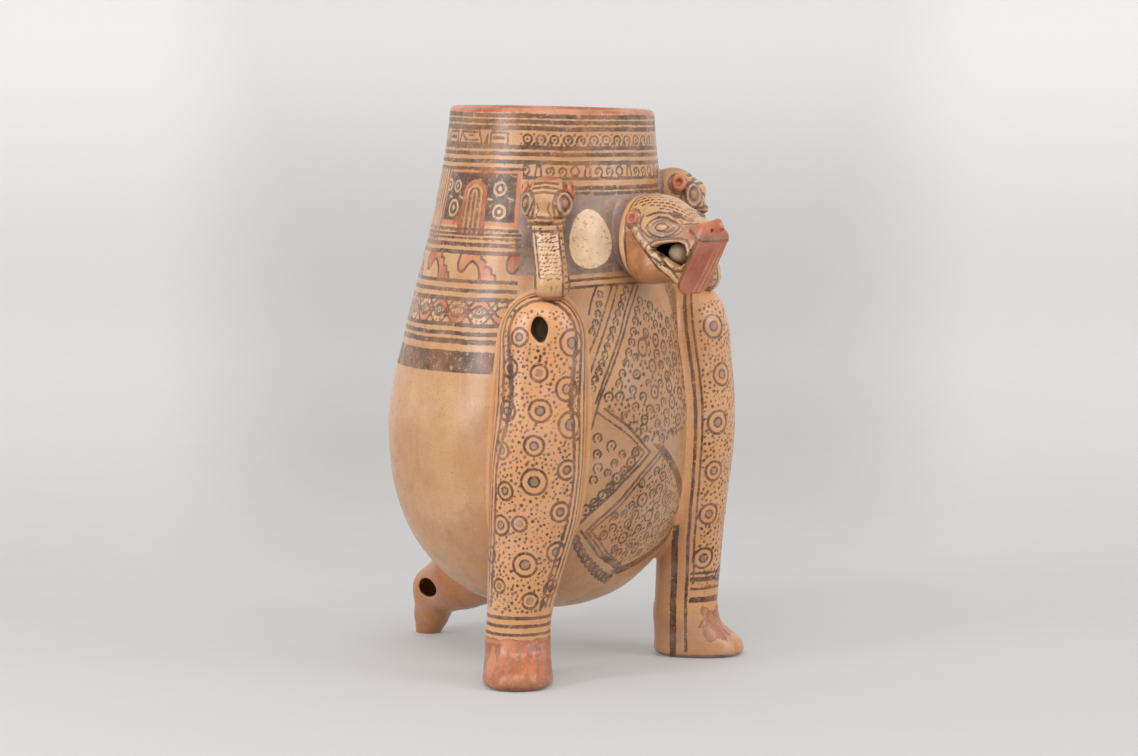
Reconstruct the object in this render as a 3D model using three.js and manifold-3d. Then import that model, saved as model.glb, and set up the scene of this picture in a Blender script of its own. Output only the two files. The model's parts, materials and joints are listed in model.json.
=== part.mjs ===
// Feline effigy jar: a hand-built, slip-painted earthenware vessel on two front legs and one rear leg.
// Millimetres, +Z up. The feline looks along -Y, and its right side is -X. The soles stand on z = 0.
import * as THREE from "three";
import { mergeVertices } from "three/addons/utils/BufferGeometryUtils.js";
import Module from "manifold-3d";

const wasm = await Module();
wasm.setup();

// Driving dimensions of the wall: outer radius and height of each turn of its profile.
const rimHeight = 320;
const rimRadius = 58.5;
const throatHeight = 290;
const throatRadius = 61.7;
const shoulderHeight = 244;
const shoulderRadius = 70.1;
const flankHeight = 190;
const flankRadius = 82.2;
const bellyHeight = 137;
const bellyRadius = 89.8;
const keelHeight = 80;
const keelRadius = 79.5;
const underHeight = 46;
const underRadius = 53;
const bottomHeight = 30;
const wallThickness = 6.5;
const bellyShift = 8.3;
const bowlJointHeight = 139;
const rimCoilHeight = 15;

// Every piece that is luted to another keeps this gap to its seat.
const seatGap = 0.3;

// Front legs: stations of the centre line and full sizes across and outwards.
const legTopHeight = 219;
const kneeHeight = 187;
const kneeAngle = 46;
const kneeStandoff = 3;
const kneeWidth = 49;
const kneeDepth = 42;
const thighHeight = 140;
const thighWidth = 52.5;
const thighDepth = 44.6;
const shinHeight = 90;
const shinWidth = 49;
const shinDepth = 40;
const ankleHeight = 26;
const ankleWidth = 35;
const ankleDepth = 36.4;
const footSpread = 79.2;
const footAngle = 56.2;
const legWall = 4.8;
const legChamberFloor = 36;
const ventHeight = 200;
const ventWidth = 9;
const ventTall = 12;

// Feet: the toes point outwards by toeAngle from straight ahead.
const toeAngle = 42.5;
const toeReach = 34;
const toeHeight = 8.5;
const footWidth = 39;
const soleInset = 3;

// Rear leg: its back and front lines, as reach and height, and its full width at five stations.
const rearRoot = { back: [46, 57], front: [42, 29], width: 28 };
const rearThigh = { back: [82, 60], front: [76, 16.5], width: 44 };
const rearBend = { back: [115, 44], front: [95, 11.5], width: 35 };
const rearShin = { back: [119.5, 14], front: [104.5, 5], width: 19 };
const rearSole = { back: [120, 0], front: [106, 0], width: 14 };
const rearLegWall = 4.8;
const rearChamberShare = 0.7;
const rearVentReach = 93;
const rearVentHeight = 28;
const rearVentLength = 16;
const rearVentTall = 12.5;

// Arms, paws and the crested heads on the shoulders.
const armAngle = 42.3;
const pawHeight = legTopHeight + 5;
const armFootHeight = pawHeight + 9;
const armLength = 23;
const armTopHeight = armFootHeight + armLength;
const armTopReach = 79.5;
const armFootReach = 87;
const armWidth = 17;
const armRootWidth = 20.5;
const armDepth = 13.6;
const collarThickness = 3.4;
const collarHeight = armTopHeight - 3.5;
const pawReach = 90;
const pawWidth = 19;
const pawDepth = 15.5;
const pawTall = 19;
const crestHeadAngle = 43.8;
const crestHeadHeight = armTopHeight + 14.5;
const crestHeadReach = 70.5;
const crestHeadWidth = 23.5;
const crestHeadLength = 29;
const crestHeadTall = 25;
const crestRise = 1.6;
const leftCrestHeadRaise = 2.2;
const beakReach = 83.5;
const beakLength = 13.5;
const beakWidth = 8.5;
const crestEyeSize = 9;
const crestEarSize = 9;

// Feline head: distances forward of the neck's axis, heights and full widths.
const headHeight = 249;
const skullReach = 86;
const skullWidth = 36;
const skullTall = 48.4;
const browReach = 104;
const browWidth = 31.5;
const browTopHeight = headHeight + 20.5;
const muzzleReach = 118;
const muzzleWidth = 24;
const muzzleTopHeight = headHeight + 13.5;
const noseReach = 132;
const noseTopHeight = headHeight + 8;
const jawHeight = headHeight - 25;
const headWall = 4.8;
const chamberFloorHeight = headHeight - 15.8;
const chamberFloorFall = 1.5;
const mouthFootHeight = headHeight - 12.4;
const chamberReach = 118;
const ruffReach = 75.5;
const ruffThickness = 5;
const headRootWidth = 31;
const headRootTall = 41.6;
const plateFootReach = 113.5;
const plateFootHeight = headHeight - 29.5;
const plateTopReach = 131.5;
const plateTopHeight = headHeight + 1.5;
const plateWidth = 22.5;
const plateThickness = 4.6;
const noseLength = 16;
const noseTall = 9.5;
const eyeLength = 19;
const eyeTall = 9.5;
const eyeProud = 1.6;
const headEarSize = 11;

// Loose clay balls inside the head and the three hollow legs.
const headBallRadius = 6.4;
const headBallReach = 105.5;
const headBallHeight = headHeight - 8.5;
const legBallRadius = 5.5;
const rearBallRadius = 4.8;
const rearBallReach = 108;
const rearBallHeight = 18.1;
const ballSeat = 0.4;

const radians = THREE.MathUtils.degToRad;
const sides = [
  { name: "right", sign: -1 },
  { name: "left", sign: 1 },
];

// A mesh's geometry from points and triangles, turned so that its faces point outwards.
function closedGeometry(points, triangles) {
  let volume = 0;
  for (const [a, b, c] of triangles) {
    volume += points[a].dot(new THREE.Vector3().crossVectors(points[b], points[c]));
  }
  const ordered = volume < 0 ? triangles.map(([a, b, c]) => [a, c, b]) : triangles;
  const geometry = new THREE.BufferGeometry().setFromPoints(points);
  geometry.setIndex(ordered.flat());
  return geometry;
}

// Joins rings of equally many points. The ends are closed by a fan, or the last ring meets the first.
function ringSurface(rings, endsMeet = false) {
  const count = rings[0].length;
  const points = rings.flat();
  const triangles = [];
  const lastRing = endsMeet ? rings.length : rings.length - 1;
  for (let i = 0; i < lastRing; i++) {
    const here = i * count;
    const next = ((i + 1) % rings.length) * count;
    for (let j = 0; j < count; j++) {
      const k = (j + 1) % count;
      triangles.push([here + j, here + k, next + k], [here + j, next + k, next + j]);
    }
  }
  if (!endsMeet) {
    for (const [ring, isLast] of [[0, false], [rings.length - 1, true]]) {
      const centre = new THREE.Vector3();
      rings[ring].forEach((p) => centre.addScaledVector(p, 1 / count));
      points.push(centre);
      for (let j = 0; j < count; j++) {
        const a = ring * count + j;
        const b = ring * count + ((j + 1) % count);
        triangles.push(isLast ? [a, b, points.length - 1] : [b, a, points.length - 1]);
      }
    }
  }
  return closedGeometry(points, triangles);
}

function solidOf(geometry) {
  const bare = new THREE.BufferGeometry();
  bare.setAttribute("position", geometry.getAttribute("position"));
  bare.setIndex(geometry.getIndex());
  const merged = mergeVertices(bare, 1e-4);
  return new wasm.Manifold(
    new wasm.Mesh({
      numProp: 3,
      vertProperties: new Float32Array(merged.getAttribute("position").array),
      triVerts: new Uint32Array(merged.getIndex().array),
    }),
  );
}

function geometryOf(solid) {
  const { vertProperties, triVerts } = solid.getMesh();
  const geometry = new THREE.BufferGeometry();
  geometry.setAttribute("position", new THREE.BufferAttribute(vertProperties, 3));
  geometry.setIndex(new THREE.BufferAttribute(triVerts, 1));
  return geometry;
}

// The largest body of a cut, without the slivers that a curved cut can leave.
function mainBody(solid) {
  return solid.decompose().sort((a, b) => b.volume() - a.volume())[0];
}

function cut(base, ...tools) {
  return mainBody(tools.reduce((rest, tool) => rest.subtract(tool), base));
}

const smooth = (share) => share * share * (3 - 2 * share);
const clampShare = (share) => Math.min(1, Math.max(0, share));
const between = (from, to, share) => from + (to - from) * share;

// A value that runs smoothly through [height, value] stations, read at any height.
function stationCurve(stations) {
  const sorted = [...stations].sort((a, b) => a[0] - b[0]);
  const samples = new THREE.CatmullRomCurve3(
    sorted.map(([height, value]) => new THREE.Vector3(value, height, 0)),
    false,
    "centripetal",
  ).getPoints(160);
  return (height) => {
    const above = samples.findIndex((p) => p.y >= height);
    if (above <= 0) return above === 0 ? samples[0].x : samples[samples.length - 1].x;
    const low = samples[above - 1];
    const high = samples[above];
    return between(low.x, high.x, (height - low.y) / (high.y - low.y || 1));
  };
}

// The wall's outer profile from the middle of the bottom up to the rim, and the same profile set in.
const wallCurve = new THREE.CatmullRomCurve3(
  [
    [0, bottomHeight],
    [underRadius * 0.5, bottomHeight + (underHeight - bottomHeight) * 0.18],
    [underRadius, underHeight],
    [keelRadius, keelHeight],
    [bellyRadius, bellyHeight],
    [flankRadius, flankHeight],
    [shoulderRadius, shoulderHeight],
    [throatRadius, throatHeight],
    [rimRadius, rimHeight],
  ].map(([radius, height]) => new THREE.Vector3(radius, height, 0)),
  false,
  "centripetal",
);
const profileSamples = 240;

function offsetProfile(offset) {
  const profile = [];
  for (let i = 0; i <= profileSamples; i++) {
    const share = i / profileSamples;
    const point = wallCurve.getPointAt(share);
    const along = wallCurve.getTangentAt(share);
    const radius = i === 0 ? 0 : point.x + along.y * offset;
    const height = i === 0 ? point.y - offset : point.y - along.x * offset;
    if (radius > 0.5 || i === 0) profile.push([radius, height]);
  }
  return profile;
}

const outerProfile = offsetProfile(0);
const innerProfile = offsetProfile(-wallThickness);

function radiusAt(profile, height) {
  const above = profile.findIndex(([, z]) => z >= height);
  if (above <= 0) return above === 0 ? profile[0][0] : profile[profile.length - 1][0];
  const [lowRadius, low] = profile[above - 1];
  const [highRadius, high] = profile[above];
  return between(lowRadius, highRadius, (height - low) / (high - low || 1));
}

// The part of a profile between two heights, in `steps` equal lengths.
function profileSpan(profile, low, high, steps) {
  const inside = profile.filter(([, z]) => z > low && z < high);
  const ends = [
    [radiusAt(profile, low), Math.max(low, profile[0][1])],
    ...inside,
    [radiusAt(profile, high), high],
  ];
  const path = new THREE.CurvePath();
  for (let i = 1; i < ends.length; i++) {
    path.add(new THREE.LineCurve(new THREE.Vector2(...ends[i - 1]), new THREE.Vector2(...ends[i])));
  }
  return path.getSpacedPoints(steps).map((p) => [p.x, p.y]);
}

// The belly sits a little further back than the rim.
function shiftBack(height) {
  const share = clampShare((rimHeight - height) / (rimHeight - bellyHeight));
  return bellyShift * Math.pow(share, 1.4);
}

function wallPoint(radius, angle, height) {
  return new THREE.Vector3(
    radius * Math.cos(angle),
    radius * Math.sin(angle) + shiftBack(height),
    height,
  );
}

const wallSides = 48;

function wallRing(radius, height) {
  return Array.from({ length: wallSides }, (_, i) =>
    wallPoint(radius, (2 * Math.PI * i) / wallSides, height),
  );
}

// Distance from the axis to the wall's outer face, at an angle from straight ahead.
function wallReach(height, degreesFromFront) {
  const radius = radiusAt(outerProfile, height);
  const forward = Math.cos(radians(degreesFromFront)) * shiftBack(height);
  const aside = Math.sin(radians(degreesFromFront)) * shiftBack(height);
  return Math.sqrt(radius * radius - aside * aside) - forward;
}

function bowlGeometry() {
  const top = bowlJointHeight;
  const poleGap = 0.6;
  const outer = profileSpan(outerProfile, bottomHeight + poleGap, top, 12);
  const inner = profileSpan(innerProfile, bottomHeight + wallThickness + poleGap, top, 9).reverse();
  return ringSurface([...outer, ...inner].map(([radius, height]) => wallRing(radius, height)));
}

function neckGeometry() {
  const low = bowlJointHeight + seatGap;
  const high = rimHeight - rimCoilHeight;
  const outer = profileSpan(outerProfile, low, high, 9);
  const inner = profileSpan(innerProfile, low, high, 6).reverse();
  return ringSurface(
    [...outer, ...inner].map(([radius, height]) => wallRing(radius, height)),
    true,
  );
}

// The last coil, with a rounded lip.
function rimGeometry() {
  const low = rimHeight - rimCoilHeight + seatGap;
  const lip = wallThickness / 2;
  const lipCentre = rimHeight - lip;
  const outer = profileSpan(outerProfile, low, lipCentre, 2);
  const inner = profileSpan(innerProfile, low, lipCentre, 2).reverse();
  const middle = (outer[2][0] + inner[0][0]) / 2;
  const halfWidth = (outer[2][0] - inner[0][0]) / 2;
  const arc = [];
  for (let step = 1; step < 5; step++) {
    const turn = (Math.PI * step) / 5;
    arc.push([middle + halfWidth * Math.cos(turn), lipCentre + lip * Math.sin(turn)]);
  }
  return ringSurface(
    [...outer, ...arc, ...inner].map(([radius, height]) => wallRing(radius, height)),
    true,
  );
}

// The whole wall without its hollow, grown by the seat gap: what luted pieces are cut back by.
function wallCutter() {
  const profile = offsetProfile(seatGap);
  const span = profileSpan(profile, bottomHeight, rimHeight, 24);
  return solidOf(ringSurface(span.map(([radius, height]) => wallRing(Math.max(radius, 1), height))));
}

// A point beside the vessel: `reach` out from the axis, at an angle from straight ahead, on one side.
function sidePoint(sign, reach, degrees, height) {
  return new THREE.Vector3(
    sign * reach * Math.sin(radians(degrees)),
    -reach * Math.cos(radians(degrees)),
    height,
  );
}

function outwards(sign, degrees) {
  return sidePoint(sign, 1, degrees, 0);
}

function sideways(sign, degrees) {
  return new THREE.Vector3(Math.cos(radians(degrees)), sign * Math.sin(radians(degrees)), 0);
}

// An ellipse of points around `centre`, spanned by two directions, with squarer corners as power grows.
function ellipseRing(centre, across, halfAcross, along, halfAlong, count, power = 2) {
  return Array.from({ length: count }, (_, i) => {
    const turn = (2 * Math.PI * i) / count;
    const bend = (value) => Math.sign(value) * Math.pow(Math.abs(value), 2 / power);
    return centre
      .clone()
      .addScaledVector(across, halfAcross * bend(Math.cos(turn)))
      .addScaledVector(along, halfAlong * bend(Math.sin(turn)));
  });
}

const upward = new THREE.Vector3(0, 0, 1);
const forward = new THREE.Vector3(0, -1, 0);
const rightToLeft = new THREE.Vector3(1, 0, 0);

const legReach = stationCurve([
  [legTopHeight, wallReach(kneeHeight, kneeAngle) + kneeStandoff],
  [kneeHeight, wallReach(kneeHeight, kneeAngle) + kneeStandoff],
  [thighHeight, wallReach(thighHeight, kneeAngle)],
  [shinHeight, between(wallReach(thighHeight, kneeAngle), footSpread, 0.55)],
  [ankleHeight, footSpread],
]);
const legAngle = stationCurve([
  [legTopHeight, kneeAngle],
  [kneeHeight, kneeAngle],
  [thighHeight, between(kneeAngle, footAngle, 0.1)],
  [shinHeight, between(kneeAngle, footAngle, 0.36)],
  [ankleHeight + 16, between(kneeAngle, footAngle, 0.9)],
  [ankleHeight, footAngle],
]);
const legWidthAt = stationCurve([
  [kneeHeight, kneeWidth],
  [thighHeight, thighWidth],
  [shinHeight, shinWidth],
  [ankleHeight + 14, between(ankleWidth, shinWidth, 0.12)],
  [ankleHeight, ankleWidth],
]);
const legDepthAt = stationCurve([
  [kneeHeight, kneeDepth],
  [thighHeight, thighDepth],
  [shinHeight, shinDepth],
  [ankleHeight, ankleDepth],
]);

// The knee's dome closes the leg's top like a rounded cap.
function domeShare(height, top) {
  const share = clampShare((height - kneeHeight) / (top - kneeHeight));
  return Math.pow(1 - Math.pow(share, 2.3), 1 / 2.1);
}

// The leg's outer shape, drawn in by `inset`: its skin, its chamber, or what other pieces are cut by.
function legSolid(sign, inset, low, steps) {
  const top = legTopHeight - inset;
  const rings = [];
  for (let i = 0; i <= steps; i++) {
    const share = i / steps;
    const height = between(low, top - 0.15, 1 - Math.pow(1 - share, 1.45));
    const angle = legAngle(height);
    const dome = domeShare(height, top);
    const halfWidth = Math.max((legWidthAt(height) / 2 - inset) * dome, 0.8);
    const halfDepth = Math.max((legDepthAt(height) / 2 - inset) * dome, 0.8);
    const centre = sidePoint(sign, legReach(height), angle, height);
    rings.push(
      ellipseRing(centre, sideways(sign, angle), halfWidth, outwards(sign, angle), halfDepth, 24),
    );
  }
  return solidOf(ringSurface(rings));
}

// A rounded hole through the skin, along a direction.
function holeTool(centre, through, length, across, halfAcross, along, halfAlong) {
  const near = centre.clone().addScaledVector(through, -length / 2);
  const far = centre.clone().addScaledVector(through, length / 2);
  return solidOf(
    ringSurface([near, far].map((p) => ellipseRing(p, across, halfAcross, along, halfAlong, 14))),
  );
}

function legGeometry(sign, wall) {
  const skin = legSolid(sign, 0, ankleHeight + seatGap, 14);
  const chamber = legSolid(sign, legWall, legChamberFloor, 9);
  const angle = kneeAngle;
  const vent = holeTool(
    sidePoint(sign, legReach(ventHeight) + kneeDepth / 2, angle, ventHeight),
    outwards(sign, angle),
    kneeDepth * 0.8,
    sideways(sign, angle),
    ventWidth / 2,
    upward,
    ventTall / 2,
  );
  return geometryOf(cut(skin, chamber, wall, vent));
}

// A foot: the ankle's oval at the top, and a longer rounded sole whose toes are only painted.
function footGeometry(sign) {
  const ankle = sidePoint(sign, footSpread, footAngle, 0);
  const toes = outwards(sign, toeAngle);
  const across = sideways(sign, toeAngle);
  const heelReach = ankleDepth / 2;
  const levels = [
    { height: 0, toe: toeReach - soleInset, width: footWidth - 2 * soleInset, heel: -soleInset },
    { height: toeHeight * 0.3, toe: toeReach, width: footWidth, heel: 0 },
    { height: toeHeight, toe: toeReach - 1.6, width: footWidth - 0.6, heel: 0.2 },
    { height: between(toeHeight, ankleHeight, 0.32), toe: between(toeReach, heelReach, 0.52) },
    { height: between(toeHeight, ankleHeight, 0.62), toe: between(toeReach, heelReach, 0.84) },
    { height: ankleHeight, toe: heelReach },
  ];
  const rings = levels.map((level) => {
    const share = clampShare((level.height - toeHeight) / (ankleHeight - toeHeight));
    const width = level.width ?? between(footWidth, ankleWidth, smooth(share));
    const heel = heelReach + (level.heel ?? 0);
    const halfLength = (level.toe + heel) / 2;
    const centre = ankle.clone().addScaledVector(toes, (level.toe - heel) / 2);
    centre.z = level.height;
    const squareness = between(2.5, 2, share);
    return ellipseRing(centre, across, width / 2, toes, halfLength, 30, squareness);
  });
  return ringSurface(rings);
}

// The rear leg's back line, front line and width, running smoothly through its five stations.
const rearStations = [rearRoot, rearThigh, rearBend, rearShin, rearSole];
const rearLine = (pick) => new THREE.CatmullRomCurve3(rearStations.map(pick), false, "catmullrom", 0.4);
const rearBackLine = rearLine(({ back }) => new THREE.Vector3(0, ...back));
const rearFrontLine = rearLine(({ front }) => new THREE.Vector3(0, ...front));
const rearWidthLine = rearLine(({ width }) => new THREE.Vector3(width, 0, 0));

function rearCentre(share) {
  return rearBackLine.getPoint(share).lerp(rearFrontLine.getPoint(share), 0.5);
}

// The rear leg from its root to a share of its length. Its chamber is drawn in by `inset`, and narrows
// to a rounded end over the last third.
function rearSolid(inset, to, steps) {
  const narrowing = 0.3;
  const rings = [];
  for (let i = 0; i <= steps; i++) {
    const share = (to * i) / steps;
    const back = rearBackLine.getPoint(share);
    const depth = new THREE.Vector3().subVectors(back, rearFrontLine.getPoint(share));
    const beyond = clampShare((i / steps - (1 - narrowing)) / (narrowing + 0.01));
    const closing = inset > 0 ? Math.sqrt(1 - beyond * beyond) : 1;
    const halfDepth = (depth.length() / 2 - inset) * closing;
    const halfWidth = (rearWidthLine.getPoint(share).x / 2 - inset) * closing;
    rings.push(
      ellipseRing(rearCentre(share), rightToLeft, halfWidth, depth.normalize(), halfDepth, 22),
    );
  }
  return solidOf(ringSurface(rings));
}

function rearLegGeometry(wall) {
  const skin = rearSolid(0, 1, 16);
  const chamber = rearSolid(rearLegWall, rearChamberShare, 11);
  const vent = holeTool(
    new THREE.Vector3(-rearBend.width / 2, rearVentReach, rearVentHeight),
    rightToLeft,
    rearBend.width * 0.6,
    forward,
    rearVentLength / 2,
    upward,
    rearVentTall / 2,
  );
  return geometryOf(cut(skin, chamber, wall, vent));
}

// An arm runs from under the crested head out and down to its paw.
function armSolid(sign, grow) {
  const top = sidePoint(sign, armTopReach, armAngle, armTopHeight);
  const foot = sidePoint(sign, armFootReach, armAngle, armFootHeight - grow);
  const shares = [0, 0.25, 0.5, 0.75, 1];
  const rings = shares.map((share) => {
    const width = between(armRootWidth, armWidth, Math.sqrt(share));
    return ellipseRing(
      top.clone().lerp(foot, share),
      sideways(sign, armAngle),
      width / 2 + grow,
      outwards(sign, armAngle),
      armDepth / 2 + grow,
      20,
      2.4,
    );
  });
  return solidOf(ringSurface(rings));
}

function collarGeometry(sign, arm) {
  const share = (armTopHeight - collarHeight) / (armTopHeight - armFootHeight);
  const reach = between(armTopReach, armFootReach, share);
  const across = sideways(sign, armAngle);
  const out = outwards(sign, armAngle);
  const rings = Array.from({ length: 20 }, (_, i) => {
    const turn = (2 * Math.PI * i) / 20;
    const radial = across.clone().multiplyScalar(Math.cos(turn)).addScaledVector(out, Math.sin(turn));
    const centre = sidePoint(sign, reach, armAngle, collarHeight)
      .addScaledVector(across, (armRootWidth / 2 - 0.6) * Math.cos(turn))
      .addScaledVector(out, (armDepth / 2) * Math.sin(turn));
    return ellipseRing(centre, radial, collarThickness / 2, upward, collarThickness / 2, 6);
  });
  return geometryOf(cut(solidOf(ringSurface(rings, true)), arm));
}

// A rounded, slightly squared pebble spanned by three directions.
function pebble(centre, axes, halves, steps = 8, count = 18, power = 2) {
  const rings = [];
  for (let i = 0; i <= steps; i++) {
    const turn = between(-Math.PI / 2, Math.PI / 2, between(0.04, 0.96, i / steps));
    const rise = Math.sign(Math.sin(turn)) * Math.pow(Math.abs(Math.sin(turn)), 2 / power);
    const girth = Math.pow(Math.cos(turn), 2 / power);
    const middle = centre.clone().addScaledVector(axes[2], halves[2] * rise);
    rings.push(
      ellipseRing(middle, axes[0], halves[0] * girth, axes[1], halves[1] * girth, count, power),
    );
  }
  return solidOf(ringSurface(rings));
}

function sideAxes(sign, degrees) {
  return [sideways(sign, degrees), outwards(sign, degrees), upward];
}

function pawSolid(sign) {
  const centre = sidePoint(sign, pawReach, armAngle, pawHeight);
  return pebble(centre, sideAxes(sign, armAngle), [pawWidth / 2, pawDepth / 2, pawTall / 2], 7, 18, 2.4);
}

function crestHeadCentre(sign) {
  const raise = sign > 0 ? leftCrestHeadRaise : 0;
  return sidePoint(sign, crestHeadReach, crestHeadAngle, crestHeadHeight + raise);
}

// The crested head: a rounded skull with a low crest over the top, grown where it cuts others.
function crestHeadSolid(sign, grow) {
  const centre = crestHeadCentre(sign);
  const axes = sideAxes(sign, crestHeadAngle);
  const halves = [crestHeadWidth / 2 + grow, crestHeadLength / 2 + grow, crestHeadTall / 2 + grow];
  const skull = pebble(centre, axes, halves, 8, 18, 2.3);
  const crest = pebble(
    centre.clone().addScaledVector(upward, crestRise),
    axes,
    [crestHeadWidth * 0.2 + grow, crestHeadLength * 0.45 + grow, crestHeadTall / 2 + grow],
    7,
    14,
  );
  return skull.add(crest);
}

function beakGeometry(sign, head) {
  const raise = sign > 0 ? leftCrestHeadRaise : 0;
  const root = sidePoint(sign, beakReach - beakLength / 2, crestHeadAngle, crestHeadHeight - 2 + raise);
  const tip = sidePoint(sign, beakReach + beakLength / 2, crestHeadAngle, crestHeadHeight - 9 + raise);
  const across = sideways(sign, crestHeadAngle);
  const rings = [0, 0.3, 0.6, 0.85, 1].map((share) => {
    const girth = Math.sqrt(1.02 - share * share);
    const middle = root.clone().lerp(tip, share);
    return ellipseRing(middle, across, beakWidth * girth * 0.55, upward, beakWidth * girth * 0.66, 14);
  });
  return geometryOf(cut(solidOf(ringSurface(rings)), head));
}

// Round pellets for the eyes, and flaps for the ears, on both sides of a crested head.
function crestPelletGeometry(sign, pellet, head, wall) {
  const centre = crestHeadCentre(sign);
  const across = sideways(sign, crestHeadAngle).multiplyScalar(pellet.toward);
  const out = outwards(sign, crestHeadAngle);
  centre.addScaledVector(across, pellet.aside).addScaledVector(out, pellet.out);
  centre.addScaledVector(upward, pellet.up);
  const facing = across.clone().multiplyScalar(pellet.turn).addScaledVector(out, 1 - pellet.turn);
  facing.normalize();
  const along = new THREE.Vector3().crossVectors(upward, facing).normalize();
  const body = pebble(centre, [along, upward, facing], pellet.halves, 5, 12);
  return geometryOf(cut(body, head, wall));
}

const crestPellets = [
  {
    name: "eye",
    aside: crestHeadWidth * 0.37,
    out: crestHeadLength * 0.3,
    up: -2.4,
    turn: 0.62,
    halves: [crestEyeSize / 2, crestEyeSize / 2, 3],
  },
  {
    name: "ear",
    aside: crestHeadWidth * 0.45,
    out: crestHeadLength * 0.06,
    up: crestHeadTall * 0.2,
    turn: 0.8,
    halves: [crestEarSize * 0.38, crestEarSize / 2, 3.4],
  },
];

const headRootDepth = 16;
const headRootTop = headHeight + headRootTall / 2;
const headRootBottom = headHeight - headRootTall / 2;
const skullTop = headHeight + skullTall / 2;
const skullBottom = headHeight - skullTall / 2 + 0.5;

// Sections of the feline's head from the neck to the nose: reach, half width, top and bottom.
const headSections = [
  [shoulderRadius - headRootDepth, headRootWidth / 2, headRootTop, headRootBottom],
  [ruffReach - 3, headRootWidth / 2, headRootTop, headRootBottom],
  [ruffReach + 1, skullWidth / 2 - 0.4, skullTop - 0.5, skullBottom],
  [skullReach, skullWidth / 2, skullTop, skullBottom],
  [between(skullReach, browReach, 0.55), between(skullWidth, browWidth, 0.45) / 2,
    between(skullTop, browTopHeight, 0.4), jawHeight + 1],
  [browReach, browWidth / 2, browTopHeight, jawHeight],
  [between(browReach, muzzleReach, 0.55), between(browWidth, muzzleWidth, 0.72) / 2,
    between(browTopHeight, muzzleTopHeight, 0.6), jawHeight - 2],
  [muzzleReach, muzzleWidth / 2, muzzleTopHeight, jawHeight - 4],
  [noseReach, muzzleWidth / 2, noseTopHeight, jawHeight - 4],
];

function headSolid(grow) {
  const rings = headSections.map(([reach, halfWidth, top, bottom]) =>
    ellipseRing(
      new THREE.Vector3(0, -reach, (top + bottom) / 2),
      rightToLeft,
      halfWidth + grow,
      upward,
      (top - bottom) / 2 + grow,
      30,
      2.2,
    ),
  );
  return solidOf(ringSurface(rings));
}

// The hollow in the head where the ball runs. Its floor falls a little towards the mouth.
function headChamber() {
  const halfWidths = [
    [shoulderRadius - headRootDepth - 2, headRootWidth / 2 - headWall],
    [ruffReach, headRootWidth / 2 - headWall],
    [skullReach + 6, skullWidth / 2 - headWall],
    [browReach, browWidth / 2 - headWall + 0.6],
    [between(browReach, chamberReach, 0.6), muzzleWidth / 2 - headWall + 2.4],
    [chamberReach, muzzleWidth / 2 - headWall],
  ];
  const rings = halfWidths.map(([reach, halfWidth]) => {
    const share = clampShare((reach - skullReach) / (chamberReach - skullReach));
    const top = between(headRootTop, muzzleTopHeight, share) - headWall - 2 * share;
    const bottom = chamberFloorHeight + chamberFloorFall * (1 - share);
    return ellipseRing(
      new THREE.Vector3(0, -reach, (top + bottom) / 2),
      rightToLeft,
      halfWidth,
      upward,
      (top - bottom) / 2,
      24,
      2.6,
    );
  });
  return solidOf(ringSurface(rings));
}

// The mouth opens on both cheeks, as one slanted slot right through.
function mouthTool() {
  const corners = [
    [browReach - 2, mouthFootHeight + 8.4],
    [browReach + 4, mouthFootHeight + 10.6],
    [browReach + 11, mouthFootHeight + 11],
    [muzzleReach + 2.5, mouthFootHeight + 8.4],
    [muzzleReach + 2.5, mouthFootHeight + 5],
    [muzzleReach - 1, mouthFootHeight + 0.6],
    [browReach + 10, mouthFootHeight],
    [browReach + 5, mouthFootHeight + 3],
  ];
  const reachOut = skullWidth;
  const rings = [-reachOut, reachOut].map((x) =>
    corners.map(([reach, height]) => new THREE.Vector3(x, -reach, height)),
  );
  return solidOf(ringSurface(rings));
}

const plateFoot = new THREE.Vector3(0, -plateFootReach, plateFootHeight);
const plateTop = new THREE.Vector3(0, -plateTopReach, plateTopHeight);
const plateUp = new THREE.Vector3().subVectors(plateTop, plateFoot).normalize();
const plateOut = new THREE.Vector3().crossVectors(rightToLeft, plateUp).normalize();

// A rounded slab along the plate's plane, between two offsets outwards from its middle plane.
function plateSlab(inner, outer, grow) {
  const centre = plateFoot.clone().add(plateTop).multiplyScalar(0.5);
  const halfTall = plateFoot.distanceTo(plateTop) / 2 + grow;
  const halfWide = plateWidth / 2 + grow;
  const rounding = Math.min(0.8, (outer - inner) / 4);
  const levels = [
    [inner, -rounding],
    [inner + rounding, 0],
    [outer - rounding, 0],
    [outer, -rounding],
  ];
  const rings = levels.map(([offset, inset]) =>
    ellipseRing(
      centre.clone().addScaledVector(plateOut, offset),
      rightToLeft,
      halfWide + inset,
      plateUp,
      halfTall + inset,
      24,
      5,
    ),
  );
  return solidOf(ringSurface(rings));
}

// Everything in front of the plate's back face, which the head is cut off by.
function beyondPlate() {
  const farEnough = noseReach - skullReach;
  return plateSlab(-plateThickness / 2 - seatGap, farEnough, farEnough);
}

function headGeometry(wall) {
  return geometryOf(cut(headSolid(0), headChamber(), mouthTool(), beyondPlate(), wall));
}

function noseGeometry(head) {
  const centre = plateTop.clone().addScaledVector(plateUp, noseTall * 0.36);
  centre.addScaledVector(forward, -noseLength * 0.2);
  const body = pebble(
    centre,
    [rightToLeft, forward, upward],
    [plateWidth / 2, noseLength / 2, noseTall / 2],
    6,
    16,
    2.8,
  );
  return geometryOf(cut(body, head, plateSlab(-plateThickness / 2, plateThickness / 2, seatGap)));
}

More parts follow.
